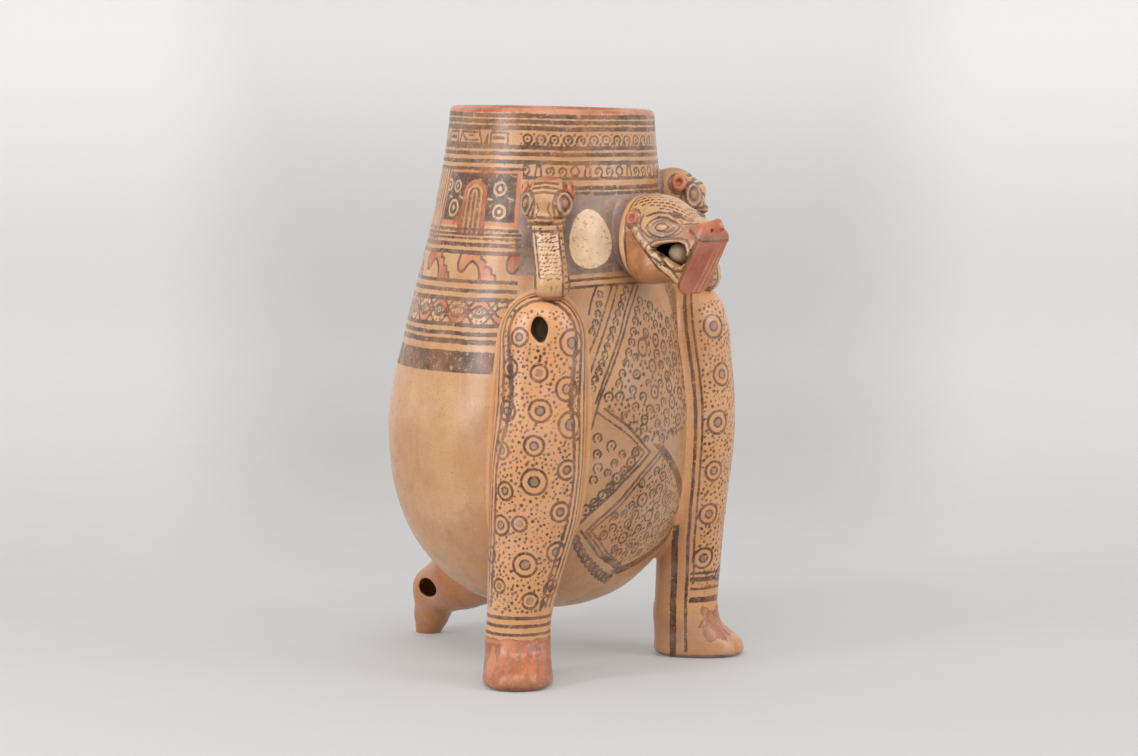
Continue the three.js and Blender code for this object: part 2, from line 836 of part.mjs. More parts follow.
// A rolled ring of clay round the back of the head.
function ruffGeometry(head, wall) {
  const rings = Array.from({ length: 26 }, (_, i) => {
    const turn = (2 * Math.PI * i) / 26;
    const radial = new THREE.Vector3(Math.cos(turn), 0, Math.sin(turn));
    const x = (skullWidth / 2 - 0.4) * Math.cos(turn);
    const z = headHeight + (skullTall / 2 - 0.6) * Math.sin(turn);
    const half = ruffThickness / 2;
    return ellipseRing(new THREE.Vector3(x, -ruffReach, z), radial, half, forward, half, 7);
  });
  return geometryOf(cut(solidOf(ringSurface(rings, true)), head, wall));
}

// An almond of clay on the cheek, and a small round ear behind it.
function headEyeGeometry(sign, head) {
  const reach = browReach + 2.5;
  const centre = new THREE.Vector3(sign * (browWidth / 2 - 1), -reach, headHeight + 6.5);
  const facing = new THREE.Vector3(sign * 0.86, -0.42, 0.28).normalize();
  const along = new THREE.Vector3().crossVectors(upward, facing).normalize();
  const over = new THREE.Vector3().crossVectors(facing, along).normalize();
  const body = pebble(
    centre,
    [along, over, facing],
    [eyeLength / 2, eyeTall / 2, 2 * eyeProud],
    5,
    16,
    1.7,
  );
  return geometryOf(cut(body, head));
}

function headEarGeometry(sign, head, ruff, wall) {
  const centre = new THREE.Vector3(sign * (skullWidth / 2 - 2.4), -(skullReach - 2.5), headHeight + 11);
  const facing = new THREE.Vector3(sign * 0.85, -0.2, 0.5).normalize();
  const along = new THREE.Vector3().crossVectors(forward, facing).normalize();
  const over = new THREE.Vector3().crossVectors(facing, along).normalize();
  const body = pebble(centre, [along, over, facing], [headEarSize / 2, headEarSize * 0.36, 4.5], 6, 14);
  return geometryOf(cut(body, head, ruff, wall));
}

function ballGeometry(radius) {
  return new THREE.IcosahedronGeometry(radius, 2);
}

const clay = new THREE.Color("#cf9a68");
const redSlip = new THREE.Color("#b4583a");
const darkSlip = new THREE.Color("#5f4c41");
const paleSlip = new THREE.Color("#dcb98c");
const innerClay = new THREE.Color("#9c7b5f");

const vessel = new THREE.Group();

function addPiece(name, geometry, colour, place = new THREE.Vector3()) {
  const material = new THREE.MeshStandardMaterial({ color: colour, roughness: 0.55, metalness: 0 });
  geometry.computeVertexNormals();
  const mesh = new THREE.Mesh(geometry, material);
  mesh.name = name;
  mesh.position.copy(place);
  vessel.add(mesh);
}

const wall = wallCutter();
addPiece("bowl", bowlGeometry(), clay);
addPiece("neck", neckGeometry(), paleSlip);
addPiece("rim_coil", rimGeometry(), redSlip);
addPiece("rear_leg", rearLegGeometry(wall), clay);

for (const { name, sign } of sides) {
  const grownLeg = legSolid(sign, -seatGap, ankleHeight, 14);
  const grownArm = armSolid(sign, seatGap);
  const grownCrestHead = crestHeadSolid(sign, seatGap);
  addPiece("leg_" + name, legGeometry(sign, wall), clay);
  addPiece("foot_" + name, footGeometry(sign), redSlip);
  const paw = cut(pawSolid(sign), grownLeg, grownArm, wall);
  addPiece("paw_" + name, geometryOf(paw), clay);
  const arm = cut(armSolid(sign, 0), grownCrestHead, wall);
  addPiece("arm_" + name, geometryOf(arm), clay);
  addPiece("arm_collar_" + name, collarGeometry(sign, grownArm.add(grownCrestHead)), darkSlip);
  const crestHead = cut(crestHeadSolid(sign, 0), wall);
  addPiece("crest_head_" + name, geometryOf(crestHead), clay);
  addPiece("crest_beak_" + name, beakGeometry(sign, grownCrestHead), clay);
  for (const pellet of crestPellets) {
    for (const [place, toward] of [["inner", -sign], ["outer", sign]]) {
      const label = ["crest", pellet.name, name, place].join("_");
      const colour = pellet.name === "ear" ? redSlip : darkSlip;
      const geometry = crestPelletGeometry(sign, { ...pellet, toward }, grownCrestHead, wall);
      addPiece(label, geometry, colour);
    }
  }
}

const grownHead = headSolid(seatGap);
const ruff = ruffGeometry(grownHead, wall);
addPiece("feline_head", headGeometry(wall), clay);
addPiece("feline_ruff", ruff, paleSlip);
addPiece(
  "muzzle_plate",
  geometryOf(plateSlab(-plateThickness / 2, plateThickness / 2, 0)),
  redSlip,
);
addPiece("nose_pad", noseGeometry(grownHead), redSlip);
for (const { name, sign } of sides) {
  addPiece("feline_eye_" + name, headEyeGeometry(sign, grownHead), darkSlip);
  addPiece("feline_ear_" + name, headEarGeometry(sign, grownHead, solidOf(ruff), wall), redSlip);
}

const headBallPlace = new THREE.Vector3(0, -headBallReach, headBallHeight);
addPiece("rattle_ball_head", ballGeometry(headBallRadius), innerClay, headBallPlace);
for (const { name, sign } of sides) {
  const height = legChamberFloor + legBallRadius + ballSeat;
  const place = sidePoint(sign, legReach(height), legAngle(height), height);
  addPiece("rattle_ball_leg_" + name, ballGeometry(legBallRadius), innerClay, place);
}
const rearBallPlace = new THREE.Vector3(0, rearBallReach, rearBallHeight);
addPiece("rattle_ball_rear_leg", ballGeometry(rearBallRadius), innerClay, rearBallPlace);

// The origin is the middle of the footprint: the assembly moves along Y until its box is centred.
const box = new THREE.Box3().setFromObject(vessel);
vessel.position.y = -(box.min.y + box.max.y) / 2;

export default vessel;
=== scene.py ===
import itertools
import json
import math
from functools import partial

import bpy
import mathutils
import numpy as np
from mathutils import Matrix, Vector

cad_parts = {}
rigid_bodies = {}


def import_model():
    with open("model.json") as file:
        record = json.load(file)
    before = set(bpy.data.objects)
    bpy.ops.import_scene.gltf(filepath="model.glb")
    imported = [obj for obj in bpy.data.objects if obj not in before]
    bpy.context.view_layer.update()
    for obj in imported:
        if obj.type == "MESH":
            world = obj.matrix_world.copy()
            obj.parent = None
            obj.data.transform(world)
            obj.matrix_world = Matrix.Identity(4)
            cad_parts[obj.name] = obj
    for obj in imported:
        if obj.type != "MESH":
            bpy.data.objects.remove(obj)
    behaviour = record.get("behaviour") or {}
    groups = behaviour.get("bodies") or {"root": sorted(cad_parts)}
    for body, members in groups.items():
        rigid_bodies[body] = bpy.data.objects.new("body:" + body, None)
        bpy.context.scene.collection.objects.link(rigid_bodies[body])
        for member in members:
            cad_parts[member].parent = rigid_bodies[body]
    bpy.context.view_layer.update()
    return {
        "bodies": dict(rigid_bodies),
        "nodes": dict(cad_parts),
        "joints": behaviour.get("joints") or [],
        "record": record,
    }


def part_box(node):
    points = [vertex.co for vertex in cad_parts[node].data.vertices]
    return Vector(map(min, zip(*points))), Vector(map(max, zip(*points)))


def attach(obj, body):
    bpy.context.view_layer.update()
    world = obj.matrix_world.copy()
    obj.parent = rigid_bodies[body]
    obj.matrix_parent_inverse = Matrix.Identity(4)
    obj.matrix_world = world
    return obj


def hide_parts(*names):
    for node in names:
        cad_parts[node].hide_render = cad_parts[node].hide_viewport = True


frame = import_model()

# The jar's axis stands a little off the row's origin. The head's loose ball tells by how much.
MM = 0.001
HEAD_BALL_REACH = 105.5
ball_low, ball_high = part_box("rattle_ball_head")
AXIS_Y = (ball_low.y + ball_high.y) / 2 + HEAD_BALL_REACH * MM

# Wall: outer radius and height of each turn of its profile, as in the solids.
RIM_HEIGHT, BOTTOM_HEIGHT = 320.0, 30.0
WALL_TURNS = (
    (0, BOTTOM_HEIGHT), (26.5, 32.9), (53, 46), (79.5, 80), (89.8, 137),
    (82.2, 190), (70.1, 244), (61.7, 290), (58.5, RIM_HEIGHT),
)
WALL_THICKNESS, BOTTOM_THICKNESS = 6.5, 6.0
# The wall slants, so the real way to it is this share of the level one.
WALL_SLOPE = 0.93
BELLY_HEIGHT, BELLY_SHIFT = 137.0, 8.3
BOWL_TOP = 139.0
RIM_TILT, TILT_FROM = 0.022, 200.0
FRONT_TURN = 42.5


def curve_through(points, samples=160):
    """Points evenly stepped along a smooth curve through all the given points."""
    points = np.asarray(points, float)
    ends = np.vstack([2 * points[0] - points[1], points, 2 * points[-1] - points[-2]])
    share = np.linspace(0, 1, samples, endpoint=False)[:, None]
    stretches = []
    for a, b, c, d in zip(ends, ends[1:], ends[2:], ends[3:]):
        before, here, after = (np.linalg.norm(q - p) ** 0.5 or 1 for p, q in ((a, b), (b, c), (c, d)))
        leaving = ((b - a) / before - (c - a) / (before + here) + (c - b) / here) * here
        arriving = ((c - b) / here - (d - b) / (here + after) + (d - c) / after) * here
        bend = -3 * b + 3 * c - 2 * leaving - arriving
        twist = 2 * b - 2 * c + leaving + arriving
        stretches.append(b + leaving * share + bend * share**2 + twist * share**3)
    return np.vstack(stretches + [points[-1:]])


def lengths_along(curve):
    """How far along a curve each of its points lies."""
    return np.append(0, np.cumsum(np.linalg.norm(np.diff(curve, axis=0), axis=1)))


def noise(points, size, seed=0):
    """Smooth noise from -1 to 1, with lumps about `size` millimetres across."""
    table = np.random.default_rng(seed).uniform(-1, 1, (16, 16, 16))
    scaled = points / size
    cell = np.floor(scaled).astype(int)
    share = scaled - cell
    share = share * share * (3 - 2 * share)
    total = np.zeros(len(points))
    for corner in itertools.product((0, 1), repeat=3):
        x, y, z = ((cell + corner) % 16).T
        weight = np.prod(np.where(corner, share, 1 - share), axis=1)
        total += weight * table[x, y, z]
    return total


def patchy(points, parts):
    """Noise added up from parts, each given by how much it counts, its size and its seed."""
    return sum(amount * noise(points, size, seed) for amount, size, seed in parts)


# Wall surface

WALL_WAVES = ((0.45, 46, 1), (0.22, 17, 2))
wall_curve = curve_through(WALL_TURNS)


def wall_radius(height):
    return np.interp(height, wall_curve[:, 1], wall_curve[:, 0])


def shift_back(height):
    share = np.clip((RIM_HEIGHT - height) / (RIM_HEIGHT - BELLY_HEIGHT), 0, 1)
    return BELLY_SHIFT * share**1.4


def hand_built(points):
    """How far a hand-built wall stands out from its even profile."""
    return patchy(points, WALL_WAVES)


def outward(sign, degrees):
    turn = np.radians(degrees)
    return np.stack([sign * np.sin(turn), -np.cos(turn), 0 * turn], axis=-1)


def sideways(sign, degrees):
    turn = np.radians(degrees)
    return np.stack([np.cos(turn), sign * np.sin(turn), 0 * turn], axis=-1)


def polar_point(sign, degrees, reach, height):
    """A point at a turn from the front, a reach from the axis and a height."""
    return outward(sign, degrees) * reach + np.array([0, 0, height])


def wall_distance(points):
    """Rough distance from the wall's outer face, below zero inside it."""
    x, y, z = points.T
    radius = np.hypot(x, y - shift_back(z))
    side = (radius - wall_radius(z) - hand_built(points)) * WALL_SLOPE
    floor = BOTTOM_HEIGHT + BOTTOM_THICKNESS / 2 - z
    return np.where(z < BOTTOM_HEIGHT + BOTTOM_THICKNESS, np.maximum(side, floor), side)


def tilted(points):
    """The rim and the neck lean a little: one side of the mouth is lower."""
    share = np.clip((points[:, 2] - TILT_FROM) / (RIM_HEIGHT - TILT_FROM), 0, 1)
    across = points @ np.append(sideways(1, -FRONT_TURN)[:2], 0)
    moved = points.copy()
    moved[:, 2] -= RIM_TILT * across * share**2
    return moved


# Meshes


def make_piece(name, points, faces, body, nodes, material):
    mesh = bpy.data.meshes.new(name)
    placed = points * MM
    placed[:, 1] += AXIS_Y
    mesh.vertices.add(len(placed))
    mesh.vertices.foreach_set("co", placed.astype(np.float32).ravel())
    corners = np.concatenate([face.ravel() for face in faces])
    widths = np.concatenate([np.full(len(face), face.shape[1]) for face in faces])
    mesh.loops.add(len(corners))
    mesh.loops.foreach_set("vertex_index", corners)
    mesh.polygons.add(len(widths))
    mesh.polygons.foreach_set("loop_start", np.concatenate([[0], np.cumsum(widths)[:-1]]))
    mesh.update(calc_edges=True)
    mesh.validate()
    mesh.polygons.foreach_set("use_smooth", np.ones(len(mesh.polygons), bool))
    piece = bpy.data.objects.new(name, mesh)
    bpy.context.scene.collection.objects.link(piece)
    mesh.materials.append(material)
    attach(piece, body)
    if nodes:
        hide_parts(*nodes)
    return piece


def add_values(piece, **values):
    for name, numbers in values.items():
        attribute = piece.data.attributes.new(name, "FLOAT", "POINT")
        attribute.data.foreach_set("value", np.asarray(numbers, np.float32))


def ring_faces(rings, count, meet=False):
    """Quads between rings of equally many points."""
    last = rings if meet else rings - 1
    row = np.arange(last)[:, None] * count
    upper = ((np.arange(last) + 1) % rings)[:, None] * count
    here = np.arange(count)[None, :]
    beside = (here + 1) % count
    return np.stack([row + here, row + beside, upper + beside, upper + here], -1).reshape(-1, 4)


def banded_values(field, grid, step, skip=3):
    """Field values: worked out on a coarse grid first, then at every point near the surface."""
    coarse = grid[::skip, ::skip, ::skip]
    values = field(coarse.reshape(-1, 3)).reshape(coarse.shape[:3])
    for axis in range(3):
        nearest = np.minimum((np.arange(grid.shape[axis]) + 1) // skip, values.shape[axis] - 1)
        values = np.take(values, nearest, axis=axis)
    close = np.abs(values) < step * skip * 2.2
    values[close] = field(grid[close])
    return values


WHOLE, FIRST, LAST = slice(None), slice(None, -1), slice(1, None)


def mesh_of_field(field, low, high, step):
    """The surface where a field changes sign: one point in each crossed cell, drawn to the surface."""
    axes = [np.arange(a, b + step, step) for a, b in zip(low, high)]
    grid = np.stack(np.meshgrid(*axes, indexing="ij"), -1)
    values = banded_values(field, grid, step)
    inside = values < 0
    cells = tuple(size - 1 for size in values.shape)
    total, hits = np.zeros(cells + (3,)), np.zeros(cells, int)
    crossings = []
    for axis in range(3):
        first, second = (tuple(part if i == axis else WHOLE for i in range(3)) for part in (FIRST, LAST))
        a, b = values[first], values[second]
        crossed = inside[first] != inside[second]
        share = np.where(crossed, a / np.where(crossed, a - b, 1), 0)
        place = grid[first] + share[..., None] * (grid[second] - grid[first])
        place[~crossed] = 0
        others = [i for i in range(3) if i != axis]
        for parts in itertools.product((FIRST, LAST), repeat=2):
            window = [WHOLE] * 3
            window[others[0]], window[others[1]] = parts
            total += place[tuple(window)]
            hits += crossed[tuple(window)]
        crossings.append((axis, others, crossed, inside[first]))
    used = hits > 0
    number = np.full(hits.shape, -1)
    number[used] = np.arange(used.sum())
    points = total[used] / hits[used][:, None]
    faces = np.vstack([crossed_quads(number, *crossing) for crossing in crossings])
    for _ in range(2):
        points = drawn_to(field, points, step)
    return points, [faces]


def crossed_quads(number, axis, others, crossed, starts_inside):
    """A quad round each crossed grid edge along one axis, between the four cells that share it."""
    places = np.argwhere(crossed)
    beside = places[:, others]
    places = places[((beside > 0) & (beside < np.take(number.shape, others))).all(1)]
    corners = []
    for steps in ((1, 1), (0, 1), (0, 0), (1, 0)):
        cell = places.copy()
        cell[:, others] -= steps
        corners.append(number[tuple(cell.T)])
    quads = np.stack(corners, -1)
    flipped = starts_inside[tuple(places.T)] == (axis == 1)
    quads[flipped] = quads[flipped][:, ::-1]
    return quads


def gradient(field, points, reach):
    slopes = [field(points + reach * unit) - field(points - reach * unit) for unit in np.eye(3)]
    return np.stack(slopes, -1) / (2 * reach)


def drawn_to(field, points, step):
    slope = gradient(field, points, step * 0.3)
    size = np.maximum((slope**2).sum(1), 0.02)
    move = -(field(points) / size)[:, None] * slope
    length = np.linalg.norm(move, axis=1, keepdims=True)
    return points + move * np.minimum(1, 0.5 * step / np.maximum(length, 1e-9))


# Soft joins of fields


def blend_out(a, b, reach):
    """Union, with the corner filled over `reach`."""
    share = np.clip(0.5 + 0.5 * (b - a) / reach, 0, 1)
    return b + (a - b) * share - reach * share * (1 - share)


def blend_in(a, b, reach):
    """Intersection, with the edge rounded over `reach`."""
    return -blend_out(-a, -b, reach)


def carve(a, tool, reach):
    return blend_in(a, -tool, reach)


def squared_ring(a, b, power):
    """1 on the edge of a squared oval. The places are shares of its half sizes."""
    return (np.abs(a) ** power + np.abs(b) ** power) ** (1 / power)


def past_corner(a, b):
    """Distance from a square corner, from how far points lie past each of its two sides."""
    return np.hypot(np.maximum(a, 0), np.maximum(b, 0)) + np.minimum(np.maximum(a, b), 0)


def mirrored(points):
    """Points of both sides, laid over each other."""
    return np.where((True, False, False), np.abs(points), points)


def ellipsoid(points, centre, halves, axes=np.eye(3)):
    local = (points - centre) @ np.asarray(axes, float).T
    scaled = np.linalg.norm(local / halves, axis=1)
    steep = np.linalg.norm(local / np.square(halves), axis=1)
    return scaled * (scaled - 1) / np.maximum(steep, 1e-6)


def cone_between(points, start, end, start_radius, end_radius):
    """A rod with rounded ends, whose radius changes along it."""
    start, end = np.asarray(start, float), np.asarray(end, float)
    along = end - start
    share = np.clip((points - start) @ along / (along @ along), 0, 1)
    nearest = start + share[:, None] * along
    return np.linalg.norm(points - nearest, axis=1) - (start_radius + (end_radius - start_radius) * share)


def frame_of(facing, up=(0, 0, 1)):
    """Three square directions: across, over and facing."""
    facing = np.asarray(facing, float)
    facing = facing / np.linalg.norm(facing)
    across = np.cross(up, facing)
    across = across / np.linalg.norm(across)
    return np.array([across, np.cross(facing, across), facing])


# Front legs and feet, sized as in the solids

LEG_TOP, KNEE_HEIGHT, THIGH_HEIGHT, SHIN_HEIGHT, ANKLE_HEIGHT = 219.0, 187.0, 140.0, 90.0, 26.0
KNEE_ANGLE, FOOT_ANGLE, TOE_ANGLE = 46.0, 56.2, 42.5
KNEE_STANDOFF = 3.0
FOOT_SPREAD = 79.2
LEG_WALL = 4.8
CHAMBER_FLOOR = 36.0
LEG_END, FOOT_TOP = 13.0, 31.0
VENT_HEIGHT, VENT_HALVES, VENT_DEPTH = 200.0, (4.8, 6.3), 9.0


def station_curve(stations):
    """A value that runs smoothly through (place, value) stations."""
    curve = curve_through([(value, place) for place, value in sorted(stations)], 80)
    return lambda place: np.interp(place, curve[:, 1], curve[:, 0])


def mix(start, end, share):
    return start + (end - start) * share


def wall_reach(height, degrees):
    radius, back = wall_radius(height), shift_back(height)
    turn = math.radians(degrees)
    return math.sqrt(radius**2 - (math.sin(turn) * back) ** 2) - math.cos(turn) * back


knee_reach = wall_reach(KNEE_HEIGHT, KNEE_ANGLE) + KNEE_STANDOFF
thigh_reach = wall_reach(THIGH_HEIGHT, KNEE_ANGLE)
leg_reach = station_curve(
    (
        (LEG_TOP, knee_reach),
        (KNEE_HEIGHT, knee_reach),
        (THIGH_HEIGHT, thigh_reach),
        (SHIN_HEIGHT, mix(thigh_reach, FOOT_SPREAD, 0.55)),
        (ANKLE_HEIGHT, FOOT_SPREAD),
    )
)
leg_angle = station_curve(
    (
        (LEG_TOP, KNEE_ANGLE),
        (KNEE_HEIGHT, KNEE_ANGLE),
        (THIGH_HEIGHT, mix(KNEE_ANGLE, FOOT_ANGLE, 0.1)),
        (SHIN_HEIGHT, mix(KNEE_ANGLE, FOOT_ANGLE, 0.36)),
        (ANKLE_HEIGHT + 16, mix(KNEE_ANGLE, FOOT_ANGLE, 0.9)),
        (ANKLE_HEIGHT, FOOT_ANGLE),
    )
)
leg_width = station_curve(
    (
        (KNEE_HEIGHT, 49), (THIGH_HEIGHT, 52.5), (SHIN_HEIGHT, 49),
        (ANKLE_HEIGHT + 14, 36.7), (ANKLE_HEIGHT, 35),
    )
)
leg_depth = station_curve(((KNEE_HEIGHT, 42), (THIGH_HEIGHT, 44.6), (SHIN_HEIGHT, 40), (ANKLE_HEIGHT, 36.4)))
toe_reach = station_curve(((0, 31), (2.6, 34), (8.5, 32.4), (14, 26), (19.4, 20.8), (ANKLE_HEIGHT, 18.2)))
heel_reach = station_curve(((0, 15.2), (2.6, 18.2), (8.5, 18.4), (ANKLE_HEIGHT, 18.2)))
foot_width = station_curve(((0, 33), (2.6, 39), (8.5, 38.4), (17, 36.6), (ANKLE_HEIGHT, 35)))


def leg_place(points, sign):
    """Where points lie in the leg's sections: across it, out from it, and the half sizes there."""
    z = points[:, 2]
    angle = leg_angle(z)
    out, across = outward(sign, angle), sideways(sign, angle)
    away = points - out * leg_reach(z)[:, None]
    return (away * across).sum(1), (away * out).sum(1), leg_width(z) / 2, leg_depth(z) / 2


def leg_distance(points, sign, inset=0.0):
    across, out, half_width, half_depth = leg_place(points, sign)
    half_width, half_depth = half_width - inset, half_depth - inset
    share = np.clip((points[:, 2] - KNEE_HEIGHT) / (LEG_TOP - inset - KNEE_HEIGHT), 0, None)
    whole = (np.hypot(across / half_width, out / half_depth) ** 2.1 + share**2.3) ** (1 / 2.1)
    return (whole - 1) * np.minimum(half_width, half_depth) * 0.9


def foot_distance(points, sign):
    z = np.clip(points[:, 2], 0, ANKLE_HEIGHT)
    toes, across = outward(sign, TOE_ANGLE), sideways(sign, TOE_ANGLE)
    toe, heel = toe_reach(z), heel_reach(z)
    away = points - outward(sign, FOOT_ANGLE) * FOOT_SPREAD
    along = away @ toes - (toe - heel) / 2
    half_length, half_width = (toe + heel) / 2, foot_width(z) / 2
    square = mix(2.5, 2.0, z / ANKLE_HEIGHT)
    ring = squared_ring(along / half_length, away @ across / half_width, square)
    return (ring - 1) * half_width


def hole_distance(points, centre, through, halves, depth):
    """An oval hole with straight sides, `depth` long each way along a level direction."""
    across = np.array([-through[1], through[0], 0])
    away = points - centre
    ring = np.hypot(away @ across / halves[0], away[:, 2] / halves[1])
    return np.maximum((ring - 1) * min(halves), np.abs(away @ through) - depth)


def luted(shape, wall, reach=5.0, skirt=0.5):
    """A piece pressed onto the wall: its clay runs out in a thin skirt that ends under the wall's face."""
    joined = blend_out(shape, wall + skirt, reach)
    return np.maximum(np.maximum(joined, -(wall + 3)), shape - reach * 1.4)


def front_leg(points, sign):
    leg = blend_in(leg_distance(points, sign), LEG_END - points[:, 2], 12.0)
    leg = leg + 0.3 * noise(points, 24, 5)
    foot = blend_in(foot_distance(points, sign), points[:, 2] - FOOT_TOP, 6.0)
    shape = luted(blend_out(leg, foot, 3.0), wall_distance(points))
    chamber = np.maximum(leg_distance(points, sign, LEG_WALL), CHAMBER_FLOOR - points[:, 2])
    centre = polar_point(sign, KNEE_ANGLE, knee_reach + leg_depth(VENT_HEIGHT) / 2, VENT_HEIGHT)
    vent = hole_distance(points, centre, outward(sign, KNEE_ANGLE), VENT_HALVES, VENT_DEPTH)
    vent = vent + 0.9 * noise(points * (1, 1, 0.8), 5.5, 15)
    shape = carve(shape, blend_out(chamber, vent, 1.0), 1.0)
    return np.maximum(shape, -points[:, 2])


# Rear leg

REAR_STATIONS = ((44, 43, 15), (79, 38.5, 20.1), (103.2, 27.4, 15.4), (109.2, 12, 10.8), (113.0, 0, 7.6))
REAR_WALL = 4.0
REAR_VENT, REAR_VENT_TURN = (-18.25, 91.65, 31.0), 48.0
REAR_VENT_HALVES, REAR_VENT_DEPTH = (6.1, 5.7), 15.0


def rear_chain(points, inset, stations):
    distance = np.full(len(points), np.inf)
    for (y0, z0, r0), (y1, z1, r1) in zip(stations, stations[1:]):
        part = cone_between(points, (0, y0, z0), (0, y1, z1), r0 - inset, r1 - inset)
        distance = blend_out(distance, part, 1.5) if np.isfinite(distance).all() else part
    return distance


def rear_leg(points):
    leg = rear_chain(points, 0, REAR_STATIONS) + 0.3 * noise(points, 24, 6)
    shape = luted(leg, wall_distance(points))
    chamber = rear_chain(points, REAR_WALL, REAR_STATIONS[:3])
    through = outward(-1, REAR_VENT_TURN)
    vent = hole_distance(points, np.array(REAR_VENT), through, REAR_VENT_HALVES, REAR_VENT_DEPTH)
    shape = carve(shape, blend_out(chamber, vent, 1.0), 1.2)
    return np.maximum(shape, -points[:, 2])


# Arms, collars, paws and the small crested heads

ARM_ANGLE = 42.3
ARM_TOP, ARM_TOP_REACH = 256.0, 79.5
ARM_FOOT, ARM_FOOT_REACH = 229.0, 88.5
ARM_HALVES, ARM_SLANT, ARM_WAIST = (9.2, 7.4, 7.0), 3.0, 0.05
PAW_HEIGHT, PAW_REACH, PAW_HALVES = 224.0, 90.0, (10.2, 7.8, 9.4)
TOE_GAP, TOE_LINE, TOE_OUT = 3.1, 9.0, 7.3
COLLAR_HEIGHTS, COLLAR_HALVES, COLLAR_ROLL = (255.6, 258.6), (9.3, 7.6), 0.9
CREST_ANGLE, CREST_TURN = 43.8, 8.0
CREST_HEIGHT, CREST_REACH = 270.5, 70.5
LEFT_RAISE = 2.2
# Forms of a crested head, in its own frame: middle and half sizes, or both ends and the radius at each
CREST_SKULL, CREST_FACE = ((0, -1, 0.4), (12.6, 14.4, 12.4)), ((0, 6, -3.5), (9.6, 10.5, 10.0))
CREST_RIDGE = (0, 13.2, -0.6), (3.4, 5.2, 5.6)
CREST_BEAK, BEAK_SQUEEZE = ((0, 9.5, -5.2), (0, 16.4, -10.8), 6.2, 3.2), (0.52, 1, 1)
CREST_THROAT = (0, 0.5, -8), (0, 3.5, -17), 10.4, 9.0
CREST_EYE, CREST_EYE_FACING, CREST_EYE_HALVES = (9.6, 8.9, -2.6), (0.74, 0.67, 0.05), (3.6, 4.2, 2.7)
CREST_EAR, CREST_EAR_FACING = (12.9, 1.2, 4.6), (0.97, 0.1, 0.2)
# Rolled rims and pressed pits: radius, rise and half thickness
CREST_EYE_RIM, CREST_EAR_CUP, CREST_EAR_PIT = (5.0, 0.7, 1.15), (3.0, 0, 1.5), (0, 1.8, 2.0)


def arm_figure(points, sign):
    """The arm with its rolled collar and its paw on the knee."""
    out, across = outward(sign, ARM_ANGLE), sideways(sign, ARM_ANGLE)
    top = polar_point(sign, ARM_ANGLE, ARM_TOP_REACH, ARM_TOP) + across * ARM_SLANT * sign
    foot = polar_point(sign, ARM_ANGLE, ARM_FOOT_REACH, ARM_FOOT)
    along = foot - top
    share = np.clip((points - top) @ along / (along @ along), 0, 1)
    away = points - (top + share[:, None] * along)
    ring = np.linalg.norm(np.stack([away @ across, away @ out, away[:, 2]], -1) / ARM_HALVES, axis=1)
    arm = (ring / (1 - ARM_WAIST * np.sin(np.pi * share)) - 1) * ARM_HALVES[1]
    paw_centre = polar_point(sign, ARM_ANGLE, PAW_REACH, PAW_HEIGHT)
    shape = blend_out(arm, ellipsoid(points, paw_centre, PAW_HALVES, (across, out, (0, 0, 1))), 2.5)
    for height in COLLAR_HEIGHTS:
        around = points - mix(top, foot, (top[2] - height) / (top[2] - foot[2]))
        radius = np.hypot(around @ across / COLLAR_HALVES[0], around @ out / COLLAR_HALVES[1])
        roll = np.hypot((radius - 1) * 8.6, around[:, 2]) - COLLAR_ROLL
        shape = blend_out(shape, roll, 1.6)
    toes = np.full(len(points), np.inf)
    for lean in (-TOE_GAP, 0.0, TOE_GAP):
        start = paw_centre + across * lean + out * TOE_OUT - (0, 0, 1.0)
        toes = np.minimum(toes, cone_between(points, start, start - (0, 0, TOE_LINE), 0.5, 0.8))
    shape = luted(carve(shape, toes, 0.6), wall_distance(points), 2.5)
    return shape + 0.12 * noise(points, 9, 7)


def crest_axes(sign):
    facing = CREST_ANGLE + CREST_TURN
    return np.array([sideways(sign, facing), outward(sign, facing), (0, 0, 1)])


def crest_centre(sign):
    return polar_point(sign, CREST_ANGLE, CREST_REACH, CREST_HEIGHT + (LEFT_RAISE if sign > 0 else 0))


def disc_place(points, centre, facing, flat=1.0):
    """Radius and height of points over a round patch that faces a given way."""
    local = (points - centre) @ frame_of(facing).T
    return np.hypot(local[:, 0], local[:, 1] / flat), local[:, 2]


def rolled(place, ring, rise, thick):
    """A rolled ring of clay, from the radius and height of points over its middle."""
    radius, over = place
    return np.hypot(radius - ring, over - rise) - thick


def crest_head(points, sign):
    """A small head with a domed skull, a drooping beak, ringed round eyes and cupped ears."""
    local = (points - crest_centre(sign)) @ crest_axes(sign).T
    shape = blend_out(ellipsoid(local, *CREST_SKULL), ellipsoid(local, *CREST_FACE), 4.0)
    shape = blend_out(shape, cone_between(local * BEAK_SQUEEZE, *CREST_BEAK), 3.5)
    shape = blend_out(shape, ellipsoid(local, *CREST_RIDGE), 3.0)
    shape = blend_out(shape, cone_between(local, *CREST_THROAT), 2.5)
    both = mirrored(local)
    eye = disc_place(both, CREST_EYE, CREST_EYE_FACING, 1.1)
    ball = ellipsoid(both, CREST_EYE, CREST_EYE_HALVES, frame_of(CREST_EYE_FACING))
    shape = blend_out(blend_out(shape, rolled(eye, *CREST_EYE_RIM), 0.8), ball, 0.6)
    ear = disc_place(both, CREST_EAR, CREST_EAR_FACING, 1.15)
    shape = carve(blend_out(shape, rolled(ear, *CREST_EAR_CUP), 0.9), rolled(ear, *CREST_EAR_PIT), 0.6)
    return luted(shape, wall_distance(points), 3.0) + 0.12 * noise(points, 8, 9)


# Feline head, plate and nose

